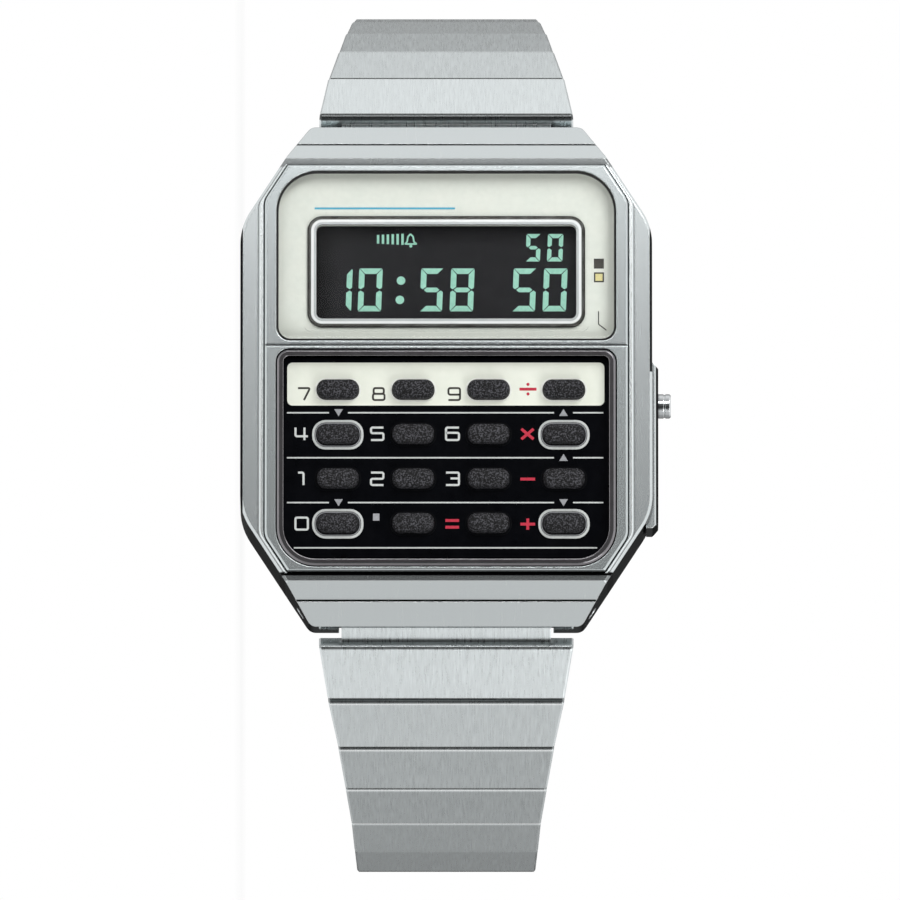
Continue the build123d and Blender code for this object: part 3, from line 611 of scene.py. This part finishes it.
def display_finish():
    finish = Finish("display_glass", 0.3)
    finish.shader.inputs["Specular IOR Level"].default_value = 0.05
    cloud = finish.noise(1200, detail=2)
    depth = finish.inside(dial_x(315), dial_x(640), dial_y(380, CELL_TOP), dial_y(224, CELL_TOP), 2.2)
    ground = finish.ramp(cloud, [(0.3, srgb(33, 33, 35)), (0.7, srgb(38, 38, 40))])
    # Painted shadow of the frame along the upper and left edges.
    finish.colour(finish.mix(finish.span(depth, 0.0, 1.0, 0.1, 2.0), srgb(4, 4, 5), ground))
    finish.bump(cloud, 1e-6, 0.2)
    return finish.material


crystal_glass = crystal_finish()
display_glass = display_finish()
print("finishes:", len(bpy.data.materials))

# %% [markdown]
# ## Paint every solid
# Each solid keeps its own mesh and only gets a finish, because its shape is already right. The table names the
# finish of each one. A key that isn't in it gets rubber, and a link that isn't in it plain link steel.

# %% Finishes of the solids
painted = {
    "case_body": case_steel, "bezel_plate": plate_steel, "display_crystal": crystal_glass,
    "face_panel": cream_face, "screen_surround": surround_silver, "lcd_cell": display_glass,
    "keypad_rim": rim_steel, "keypad_plate": legend_plate, "key_mat": mat_rubber,
    "circuit_board": board_green, "module_frame": module_plastic, "battery": bright_steel,
    "buzzer": buzzer_brass, "case_back": back_steel, "back_screws": bright_steel,
    "back_gasket": gasket_rubber, "spring_bars": bright_steel, "mode_pusher": bright_steel,
    "adjust_pusher": bright_steel, "clasp_cover": link_steel, "clasp_middle_blade": back_steel,
    "clasp_end_blade": back_steel, "upper_link_01": lip_steels["upper_end_steel"],
    "lower_link_01": lip_steels["lower_end_steel"],
}
for number in range(2, 7):
    painted[f"lower_link_{number:02}"] = lip_steels["lower_steel"]
for number in range(2, 5):
    painted[f"upper_link_{number:02}"] = lip_steels["upper_steel"]

for name, solid in nodes.items():
    material = painted.get(name, key_rubber if name.startswith("key_") else link_steel)
    solid.data.materials.clear()
    solid.data.materials.append(material)
    for slot in solid.material_slots:
        slot.material = material
print("painted", len(nodes), "solids,", len(painted), "of them by name")

# %% [markdown]
# ## Making a piece
# Every new piece is drawn flat on the dial, in millimetres, with x to 3 o'clock and y to 12 o'clock, and then laid
# on the surface that carries it, because a flat drawing is easier to think in. The first helper finishes a bmesh:
# it lays it down, turns its faces outwards, gives it its finish and lets it ride on its body. The others lift what
# an operator has made, and add tiles and boxes.

# %% Piece helpers


def finish_piece(bm, name, material, height, body="case", smooth=False):
    """The mesh, laid on the dial at this height above the case back, as a piece that rides on its body."""
    laid = Matrix.Diagonal((MM, MM, MM, 1)) @ DIAL @ Matrix.Translation((0, 0, height))
    bmesh.ops.transform(bm, matrix=laid, verts=bm.verts)
    bmesh.ops.recalc_face_normals(bm, faces=bm.faces)
    mesh = bpy.data.meshes.new(name)
    bm.to_mesh(mesh)
    bm.free()
    if smooth:
        mesh.shade_smooth()
    mesh.materials.append(material)
    piece = bpy.data.objects.new(name, mesh)
    bpy.context.scene.collection.objects.link(piece)
    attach(piece, body)
    return piece


def lift(bm, geom, height):
    """Lift what an operator has made, and return its vertices."""
    verts = [g for g in geom if isinstance(g, bmesh.types.BMVert)]
    bmesh.ops.translate(bm, vec=(0, 0, height), verts=verts)
    return verts


def add_tile(bm, points, thickness):
    """A flat tile with the given outline."""
    outline = bm.faces.new([bm.verts.new((x, y, 0)) for x, y in points])
    lift(bm, bmesh.ops.extrude_face_region(bm, geom=[outline])["geom"], thickness)


def corners(left, right, foot, head):
    return [(left, foot), (right, foot), (right, head), (left, head)]


def add_box(bm, left, right, foot, head, thickness):
    add_tile(bm, corners(left, right, foot, head), thickness)


print("piece helpers ready")

# %% [markdown]
# ## Key caps
# The sixteen keys are one rubber moulding each: a flange that stays under the legend plate and a domed cap with
# soft edges. A cube with a bevel modifier would look like a brick, so each cap starts as the flange's rectangle.
# It is thickened, inset to the cap's outline and drawn up. Then the four standing edges and the top rim are
# bevelled, and the middle is lifted a little.

# %% Make the key caps
CAP_LENGTH, CAP_WIDTH = 3.5, 1.64
CAP_CORNER, CAP_EDGE, CAP_LIFT = 0.74, 0.4, 0.08
FLANGE_TOP, FLANGE_INSET = 6.6, 0.1


def make_key(name):
    low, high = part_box(name)
    left, right, foot, head = dial_box(name)
    bottom, top = -high.y / MM, -low.y / MM
    length, width = right - left, head - foot
    bm = bmesh.new()
    bmesh.ops.create_grid(bm, x_segments=1, y_segments=1, size=0.5)
    bmesh.ops.scale(bm, vec=(length, width, 1), verts=bm.verts)
    bmesh.ops.translate(bm, vec=((left + right) / 2, (foot + head) / 2, 0), verts=bm.verts)
    flange = bmesh.ops.extrude_face_region(bm, geom=bm.faces[:])["geom"]
    lift(bm, flange, FLANGE_TOP - bottom)
    lid = [g for g in flange if isinstance(g, bmesh.types.BMFace)]
    bmesh.ops.inset_region(bm, faces=lid, thickness=FLANGE_INSET, use_even_offset=True)
    shrink = Matrix.Diagonal((CAP_LENGTH / (length - 2 * FLANGE_INSET), CAP_WIDTH / (width - 2 * FLANGE_INSET), 1, 1))
    middle = Matrix.Translation(((left + right) / 2, (foot + head) / 2, 0))
    bmesh.ops.transform(bm, matrix=middle @ shrink @ middle.inverted(), verts=list({v for f in lid for v in f.verts}))
    cap = bmesh.ops.extrude_face_region(bm, geom=lid)["geom"]
    bmesh.ops.delete(bm, geom=lid, context="FACES_ONLY")
    rim = lift(bm, cap, top - CAP_LIFT - FLANGE_TOP)
    standing = [e for v in rim for e in v.link_edges if abs(e.verts[0].co.z - e.verts[1].co.z) > 0.5]
    bmesh.ops.bevel(bm, geom=standing, offset=CAP_CORNER, segments=5, profile=0.5, affect="EDGES", material=-1)
    lid = max(bm.faces, key=lambda f: f.calc_center_median().z)
    bmesh.ops.bevel(bm, geom=lid.edges[:], offset=CAP_EDGE, segments=4, profile=0.5, affect="EDGES", material=-1)
    lid = max((f for f in bm.faces if f.normal.z > 0.9), key=lambda f: f.calc_center_median().z)
    crown = bmesh.ops.poke(bm, faces=[lid])["verts"]
    bmesh.ops.translate(bm, vec=(0, 0, CAP_LIFT), verts=crown)
    piece = finish_piece(bm, name + "_cap", key_rubber, height=bottom, body=name, smooth=True)
    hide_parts(name)
    return piece


key_names = [f"key_{row}_{column}" for row in range(1, 5) for column in range(1, 5)]
key_caps = [make_key(name) for name in key_names]
print("keys:", len(key_caps), "faces each:", len(key_caps[0].data.polygons))

# %% [markdown]
# ## Ink
# The legends are screen printed. Each figure is a few straight strokes with rounded corners, as on old pocket
# calculators, so a stroke is the only thing to make: a chain of points, its corners rounded with a vertex bevel,
# drawn up into a low wall, and the wall thickened to the pen's width. That keeps the width even round a corner.

# %% Inks and the pen
INK_HEIGHT = 0.02


def ink(name, colour):
    return moulded(name, colour, 0.45, speckle=6000, contrast=6, relief=2e-6)


white_ink = ink("white_ink", (206, 210, 208))
red_ink = ink("red_ink", (196, 30, 60))
dark_ink = ink("dark_ink", (44, 41, 35))
blue_ink = ink("blue_ink", (70, 170, 200))
yellow_ink = ink("yellow_ink", (224, 214, 150))
grey_ink = ink("grey_ink", (160, 162, 166))


def stroke(bm, points, width, closed=False, corner=0.0, height=INK_HEIGHT):
    """One pen stroke along the points, laid into bm; corner is one radius, or one for each point."""
    line = bmesh.new()
    verts = [line.verts.new((x, y, 0)) for x, y in points]
    for first, second in zip(verts, verts[1:] + verts[:1] if closed else verts[1:]):
        line.edges.new((first, second))
    radii = corner if isinstance(corner, tuple) else (corner,) * len(verts)
    for radius in set(radii) - {0.0}:
        bends = [v for v, r in zip(verts, radii) if r == radius and (closed or v not in (verts[0], verts[-1]))]
        if bends:
            bmesh.ops.bevel(line, geom=bends, offset=radius, segments=max(4, round(6 * radius)), profile=0.5,
                            affect="VERTICES", material=-1)
    lift(line, bmesh.ops.extrude_edge_only(line, edges=line.edges[:])["geom"], height)
    bmesh.ops.recalc_face_normals(line, faces=line.faces)
    line.normal_update()
    # Solidify thickens to one side, so the wall first moves half a width to the other, and further at a corner.
    for vert in line.verts:
        level = vert.normal.to_2d()
        slant = min((abs(level.normalized().dot(f.normal.to_2d().normalized())) for f in vert.link_faces), default=1)
        vert.co.xy = vert.co.xy + level.normalized() * width / 2 / max(slant, 0.5)
    bmesh.ops.solidify(line, geom=line.faces[:], thickness=width)
    mesh = bpy.data.meshes.new("stroke")
    line.to_mesh(mesh)
    line.free()
    bm.from_mesh(mesh)
    bpy.data.meshes.remove(mesh)


def add_dot(bm, x, y, radius, segments=16):
    """A flat dot, level with the ink."""
    dot = bmesh.ops.create_circle(bm, cap_ends=True, segments=segments, radius=radius)["verts"]
    bmesh.ops.translate(bm, verts=dot, vec=(x, y, INK_HEIGHT))


print("inks:", [m.name for m in (white_ink, red_ink, dark_ink, blue_ink, yellow_ink, grey_ink)])

# %% [markdown]
# ## Figures
# A font would give the figures an office look, and a calculator's have flat, square forms. So each figure is
# described by its strokes on a square from 0 to 1 and stretched to its place. A chain of points that ends where it
# began is closed.

# %% The figures' strokes
FIGURES = {
    "0": [[(0, 0), (1, 0), (1, 1), (0, 1), (0, 0)]],
    "1": [[(0.1, 1), (0.6, 1), (0.6, 0)]],
    "2": [[(0, 1), (1, 1), (1, 0.5), (0, 0.5), (0, 0), (1, 0)]],
    "3": [[(0, 1), (1, 1), (1, 0), (0, 0)], [(0.35, 0.53), (1, 0.53)]],
    "4": [[(0, 1), (0, 0.3), (1, 0.3)], [(0.72, 1), (0.72, 0)]],
    "5": [[(1, 1), (0, 1), (0, 0.55), (1, 0.55), (1, 0), (0, 0)]],
    "6": [[(1, 1), (0, 1), (0, 0), (1, 0), (1, 0.58), (0, 0.58)]],
    "7": [[(0, 1), (1, 1), (0.5, 0)]],
    "8": [
        [(0, 0), (1, 0), (1, 0.52), (0, 0.52), (0, 0)],
        [(0.06, 0.52), (0.94, 0.52), (0.94, 1), (0.06, 1), (0.06, 0.52)],
    ],
    "9": [[(0, 0), (1, 0), (1, 1), (0, 1), (0, 0.45), (1, 0.45)]],
    "times": [[(0, 0), (1, 1)], [(0, 1), (1, 0)]],
    "plus": [[(0, 0.5), (1, 0.5)], [(0.5, 0), (0.5, 1)]],
    "minus": [[(0, 0.5), (1, 0.5)]],
    "equals": [[(0, 1), (1, 1)], [(0, 0), (1, 0)]],
}


def figure(bm, name, left, right, top, bottom, height, width, corner=0.14):
    """A figure between these pixels of the picture, on a surface at this height."""
    low_x, high_x = dial_x(left) + width / 2, dial_x(right) - width / 2
    low_y, high_y = dial_y(bottom, height) + width / 2, dial_y(top, height) - width / 2
    # A second stroke is a little taller, so that no two faces share a plane where strokes cross.
    for layer, chain in enumerate(FIGURES[name]):
        points = [(low_x + (high_x - low_x) * x, low_y + (high_y - low_y) * y) for x, y in chain]
        closed = chain[0] == chain[-1]
        stroke(bm, points[:-1] if closed else points, width, closed, corner, INK_HEIGHT + 0.004 * layer)


print("figures and signs:", len(FIGURES))

# %% [markdown]
# ## Legends
# The figures stand beside or above their keys: white digits, red signs, and dark digits on the cream strip. Each
# row gives a figure and its left, right, top and bottom pixel. A colour is one mesh, as one screen prints it.

# %% Legends


def pixels(points, height):
    """Pixels of the picture as places on the dial."""
    return [(dial_x(x), dial_y(y, height)) for x, y in points]


def print_on_plate(bm, name, material):
    """Lay a print, a ring or a collar on the keypad's plate."""
    finish_piece(bm, name, material, height=PLATE_TOP)


white_legends = bmesh.new()
for name, left, right, top, bottom in (
    ("4", 294.5, 309, 427, 441.5), ("5", 370, 384.5, 427, 441.5), ("6", 445, 460, 427, 441.5),
    ("1", 296, 309, 472, 486.5), ("2", 370, 384.5, 472, 486.5), ("3", 445, 460, 472, 486.5),
    ("0", 294.5, 309, 517, 531),
):
    figure(white_legends, name, left, right, top, bottom, PLATE_TOP, 0.175)
red_legends = bmesh.new()
for name, left, right, top, bottom in (
    ("times", 520, 535, 428, 441), ("minus", 519, 536.5, 478, 481), ("equals", 444, 460.5, 519.5, 529),
    ("plus", 519, 536.5, 517.5, 531.5),
):
    figure(red_legends, name, left, right, top, bottom, PLATE_TOP, 0.24)
stroke(red_legends, pixels([(519.5, 389.6), (536.5, 389.6)], PLATE_TOP), 0.24)
for row in (384.8, 394.4):
    add_dot(red_legends, dial_x(528), dial_y(row, PLATE_TOP), 0.13)
dark_legends = bmesh.new()
for name, left, right in (("7", 297, 311), ("8", 372, 385.5), ("9", 447.5, 461)):
    figure(dark_legends, name, left, right, 387.6, 401.4, PLATE_TOP, 0.16, 0.16)
print_on_plate(white_legends, "white_figures", white_ink)
print_on_plate(red_legends, "red_signs", red_ink)
print_on_plate(dark_legends, "dark_figures", dark_ink)
print("legends printed")

# %% [markdown]
# ## Rules and arrows
# Thin rules part the rows of keys, and small triangles point at the keys that set the time. Both are print too, so
# a rule is one stroke of the pen, and a triangle is a tile.

# %% Rules and arrows
rules = bmesh.new()
for row, spans in (
    (413.2, ((287, 329), (348, 554), (573, 603.3))), (458.2, ((287, 554), (573, 603.3))),
    (503, ((287, 329), (348, 554), (573, 603.3))), (548.2, ((294, 597),)),
):
    for left, right in spans:
        stroke(rules, pixels([(left, row), (right, row)], PLATE_TOP), 0.12)
print_on_plate(rules, "thin_rules", white_ink)

arrows = bmesh.new()
for column, row, way in ((338.6, 413, -1), (563.5, 413, 1), (563.5, 458, 1), (338.6, 503, -1), (563.5, 503, -1)):
    x, y = dial_x(column), dial_y(row, PLATE_TOP)
    add_tile(arrows, [(x - 0.36, y - 0.29 * way), (x + 0.36, y - 0.29 * way), (x, y + 0.31 * way)][::way], INK_HEIGHT)
add_box(arrows, dial_x(373), dial_x(379.5), dial_y(521, PLATE_TOP), dial_y(514, PLATE_TOP), INK_HEIGHT)
print_on_plate(arrows, "arrows", grey_ink)
print("rules and arrows printed")

# %% [markdown]
# ## Rings and collars
# Every key hole has a low collar that keeps a fingernail off the key's edge. The four keys that set the time have
# a light ring instead, with a finer one inside it. Each is a closed stroke along the cap's outline, a little larger
# than the cap, so its corners stay parallel to the cap's own.

# %% Rings and collars
TIME_KEYS = ("key_2_1", "key_2_4", "key_4_1", "key_4_4")


def round_key(bm, name, margin, width, height, taller=0.0):
    """A ring round a key's cap: its margin, the ring's width and height, and how much taller it is at its foot."""
    left, right, foot, head = dial_box(name)
    x, y = (left + right) / 2, (foot + head) / 2 - taller / 2
    half_x, half_y = CAP_LENGTH / 2 + margin, CAP_WIDTH / 2 + margin + taller / 2
    stroke(bm, corners(x - half_x, x + half_x, y - half_y, y + half_y), width, True, CAP_CORNER + margin, height)


rings, inner_rings, collars, cream_collars = (bmesh.new() for _ in range(4))
for name in key_names:
    if name in TIME_KEYS:
        round_key(rings, name, 0.29, 0.2, 0.1, taller=0.08)
        round_key(inner_rings, name, 0.11, 0.07, 0.07, taller=0.08)
    else:
        round_key(cream_collars if name.startswith("key_1") else collars, name, 0.12, 0.16, 0.05)
collar_black = moulded("collar_black", (8, 9, 12), 0.6, contrast=3)
collar_black.node_tree.nodes["Principled BSDF"].inputs["Specular IOR Level"].default_value = 0.06
collar_cream = moulded("collar_cream", (246, 248, 240), 0.35)
print_on_plate(rings, "key_rings", white_ink)
print_on_plate(inner_rings, "inner_key_rings", grey_ink)
print_on_plate(collars, "key_collars", collar_black)
print_on_plate(cream_collars, "cream_key_collars", collar_cream)
print("rings and collars made")

# %% [markdown]
# ## The display
# The liquid crystal shows pale green figures on a dark ground. Seven segments make a figure, and each segment is a
# small tile with mitred ends. Only three have to be drawn, the upper left one, the top one and the middle one: the
# others are their mirror images. The figures lean a little to the right, as display figures do.

# %% Display segments
SEGMENTS = {"0": "abcdef", "1": "bc", "5": "afgcd", "8": "abcdefg"}


def segment_outline(name, wide, tall, thick, gap):
    """One of the segments a to g, clockwise from the top and g in the middle, in a figure of this size."""
    half = tall / 2
    side = [
        (0, tall - gap - 0.25 * thick), (0.12 * thick, tall - gap), (thick, tall - thick - gap),
        (thick, half + 0.42 * thick + gap), (0.4 * thick, half + gap), (0, half + 0.3 * thick + gap),
    ]
    bar = [
        (gap, tall), (gap + 0.2 * thick, tall), (wide - gap, tall), (wide - thick - gap, tall - thick),
        (thick + gap, tall - thick),
    ]
    middle = [
        (0.5 * thick + gap, half), (thick + gap, half + 0.42 * thick), (wide - thick - gap, half + 0.42 * thick),
        (wide - 0.5 * thick - gap, half), (wide - thick - gap, half - 0.42 * thick), (thick + gap, half - 0.42 * thick),
    ]
    outline = {"a": bar, "d": bar, "g": middle}.get(name, side)
    if name in "bc":
        outline = [(wide - x, y) for x, y in outline]
    if name in "ced":
        outline = [(x, tall - y) for x, y in outline]
    return outline


def display_figure(bm, name, left, right, top, bottom, thick, lean=0.04):
    """A figure between these pixels, its segments this many pixels thick."""
    x0, y0 = dial_x(left), dial_y(bottom, CELL_TOP)
    wide, tall = dial_x(right) - x0, dial_y(top, CELL_TOP) - y0
    for segment in SEGMENTS[name]:
        outline = segment_outline(segment, wide, tall, thick / PIXELS_X, 0.055)
        add_tile(bm, [(x0 + x + lean * y, y0 + y) for x, y in outline], INK_HEIGHT)


display_green = moulded("display_green", (147, 204, 183), 0.4, contrast=6)
segments = bmesh.new()
for name, left, right in (
    ("1", 327.5, 351), ("0", 357.5, 381), ("5", 419.5, 442), ("8", 449.5, 473), ("5", 512, 535), ("0", 542.5, 566),
):
    display_figure(segments, name, left, right, 269, 312, 5.6)
for name, left, right in (("5", 525.5, 540), ("0", 547, 562.5)):
    display_figure(segments, name, left, right, 234.5, 262, 4.2)
print("segments drawn, corners:", len(segments.verts))

# %% [markdown]
# ## Small marks of the display
# Two dots part hours and minutes, and a ladder of bars and a bell stand at the top. They are liquid crystal too, so
# they go into the same mesh.

# %% Dots, bars and bell
for column, row in ((400.988, 281.2), (399.83, 300.5)):
    add_dot(segments, dial_x(column), dial_y(row, CELL_TOP), 0.36, segments=20)
for number in range(6):
    x, y, half = dial_x(378 + 4.9 * number), dial_y(239.8, CELL_TOP), 0.37 + 0.02 * number
    add_box(segments, x - 0.1, x + 0.1, y - half, y + half, INK_HEIGHT)
bell = [(405, 244.5), (407, 242.5), (408, 237), (410.5, 234.6), (413, 237), (414, 242.5), (416.5, 244.5)]
stroke(segments, pixels(bell, CELL_TOP), 0.13, True, 0.05)
add_dot(segments, dial_x(410.8), dial_y(246.6, CELL_TOP), 0.13, segments=12)
finish_piece(segments, "display_segments", display_green, height=CELL_TOP)
print("display finished")

# %% [markdown]
# ## Marks on the cream face
# Two small squares with a leader line mark the side buttons, and a plain blue rule sits above the display. The
# yellow square is its dark outline with a thinner yellow box inside it.

# %% Marks on the cream face
face_marks = bmesh.new()
stroke(face_marks, pixels([(598.6, 312), (598.6, 325), (606.5, 331)], PANEL_TOP), 0.09)
add_box(face_marks, dial_x(594), dial_x(604), dial_y(269.3, PANEL_TOP), dial_y(259.4, PANEL_TOP), INK_HEIGHT)
square = pixels([(594.8, 282.3), (603.4, 282.3), (603.4, 273.8), (594.8, 273.8)], PANEL_TOP)
stroke(face_marks, square, 0.12, True)
finish_piece(face_marks, "face_marks", dark_ink, height=PANEL_TOP)
yellow = bmesh.new()
(left, foot), _, (right, head), _ = square
add_box(yellow, left + 0.06, right - 0.06, foot + 0.06, head - 0.06, INK_HEIGHT / 2)
finish_piece(yellow, "yellow_square", yellow_ink, height=PANEL_TOP)
blue = bmesh.new()
stroke(blue, pixels([(314.5, 209), (455, 209)], PANEL_TOP), 0.16)
finish_piece(blue, "blue_rule", blue_ink, height=PANEL_TOP)
print("face marked")

# %% [markdown]
# ## The window gasket
# A thin black gasket holds the crystal in its window and shows as a dark line round the cream face. It lies in the
# groove between the window's wall and the crystal's bevel. Its corners follow the window, which is rounder at its
# 12 o'clock end, so this stroke gets one radius for each corner.

# %% Window gasket
GASKET_WIDTH, GASKET_HEIGHT, GASKET_DEPTH = 0.15, 0.3, 0.42
gasket = bmesh.new()
outline = corners(*dial_box("display_crystal", inset=0.07))
stroke(gasket, outline, GASKET_WIDTH, True, (1.08, 1.08, 3.3, 3.3), GASKET_HEIGHT)
finish_piece(gasket, "window_gasket", gasket_rubber, height=FRONT - GASKET_DEPTH)
print("gasket laid")

# %% [markdown]
# ## The floor
# The closed watch lies on its left flank, so the camera sees the floor edge-on, to the left of the case. It is a
# plain pale sheet, a hair below the watch, because two surfaces in one plane flicker. Alone it would look greyer
# than the white surroundings. So the rays that show a background get a small share of white glow, more of it far
# away, and the watch's shadow stays. Metal doesn't mirror the floor, only the tent below.

# %% Floor
floor_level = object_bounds()[0].z - 2e-5
bm = bmesh.new()
bmesh.ops.create_grid(bm, x_segments=1, y_segments=1, size=4)
bmesh.ops.translate(bm, verts=bm.verts, vec=(0, 0, floor_level))
floor_mesh = bpy.data.meshes.new("floor")
bm.to_mesh(floor_mesh)
bm.free()
floor = bpy.data.objects.new("floor", floor_mesh)
bpy.context.scene.collection.objects.link(floor)
finish = Finish("floor_white", 0.9)
finish.shader.inputs["Base Color"].default_value = (0.86, 0.86, 0.86, 1)
glow = finish.node("ShaderNodeEmission")
glow_share = finish.span(finish.length(finish.place), 0.9, 1.0, 0.03, 0.11)
finish.surface(finish.math("MULTIPLY", finish.shown(), glow_share), finish.shader.outputs["BSDF"],
               glow.outputs["Emission"])
floor_mesh.materials.append(finish.material)
floor.visible_glossy = False
print("floor at", round(floor_level, 4))

# %% [markdown]
# ## Surroundings
# Polished metal is drawn by what stands round it. A watch is photographed in a tent of pale cloth with dark gaps,
# and here that tent is a ring of grey tones by the angle round the watch. They were set so that each facet and
# each link mirrors the tone that it has in the picture. Towards both flanks the tent turns white. Only reflections
# see it. The camera and rays through glass see plain white, and all other rays get an even, plain light.

# %% Surroundings
# Tones by the angle from straight in front of the dial, in degrees: below zero towards 12 o'clock, above it to 6.
TENT = (
    (-180, 0.01), (-165, 0.06), (-150, 0.36), (-140, 0.42), (-120, 0.48), (-104, 0.97), (-82, 0.97), (-50, 0.5),
    (-25, 0.2), (-4, 0.17), (8, 0.05), (30, 0.05), (46, 0.5), (58, 0.84), (68, 0.72), (76, 0.62), (84, 0.68),
    (92, 0.64), (104, 0.46), (120, 0.38), (146, 0.38), (162, 0.06), (180, 0.01),
)
world = bpy.data.worlds.new("studio")
bpy.context.scene.world = world
world.use_nodes = True
studio = Graph(world.node_tree)
ambient = studio.tree.nodes["Background"]
ambient.inputs["Color"].default_value = WHITE
ambient.inputs["Strength"].default_value = 0.4
backdrop = studio.node("ShaderNodeBackground")
direction = studio.split(studio.node("ShaderNodeTexCoord").outputs["Generated"])
around = studio.math("ARCTAN2", direction["X"], studio.math("MULTIPLY", direction["Y"], -1))
turned = studio.span(around, 0.0, 1.0, -math.pi, math.pi)
tent = studio.ramp(turned, [((degrees + 180) / 360, (tone, tone, tone, 1)) for degrees, tone in TENT])
sideways = studio.span(studio.math("ABSOLUTE", direction["Z"]), 0.0, 1.0, 0.3, 0.75)
mirrored = studio.mix(sideways, tent, WHITE)
off_metal = studio.node("ShaderNodeLightPath").outputs["Is Glossy Ray"]
studio.feed(studio.mix(off_metal, WHITE, mirrored), backdrop.inputs["Color"])
studio.surface(studio.shown(), ambient.outputs["Background"], backdrop.outputs["Background"], "World Output")
print("surroundings ready,", len(TENT), "tones")

# %% [markdown]
# ## Lamps
# The even light alone leaves keys and steel flat. Three soft lamps add direction: a small one close above the dial,
# and two large ones from the right, towards 12 and towards 6 o'clock. Together they light the watch about as bright
# as its colours are written.

# %% Lamps


def soft_lamp(name, place, size, power):
    """A round lamp, its place and size in metres, that faces the watch."""
    data = bpy.data.lights.new(name, "AREA")
    data.shape, data.size, data.energy = "DISK", size, power
    lamp = bpy.data.objects.new(name, data)
    bpy.context.scene.collection.objects.link(lamp)
    lamp.matrix_world = Matrix.Translation(place) @ (-Vector(place)).to_track_quat("-Z", "Y").to_matrix().to_4x4()


soft_lamp("near_lamp", (-0.13, -0.26, 0.0), 0.09, 0.115)
soft_lamp("front_lamp", (-0.42, -0.42, 0.3), 0.35, 1.7)
soft_lamp("low_lamp", (0.45, -0.38, 0.3), 0.4, 1.5)
print("lamps:", [lamp.name for lamp in bpy.data.lights])

# %% [markdown]
# ## The view transform
# Colours are shown through the Standard view transform.

# %% View transform
bpy.context.scene.view_settings.view_transform = "Standard"
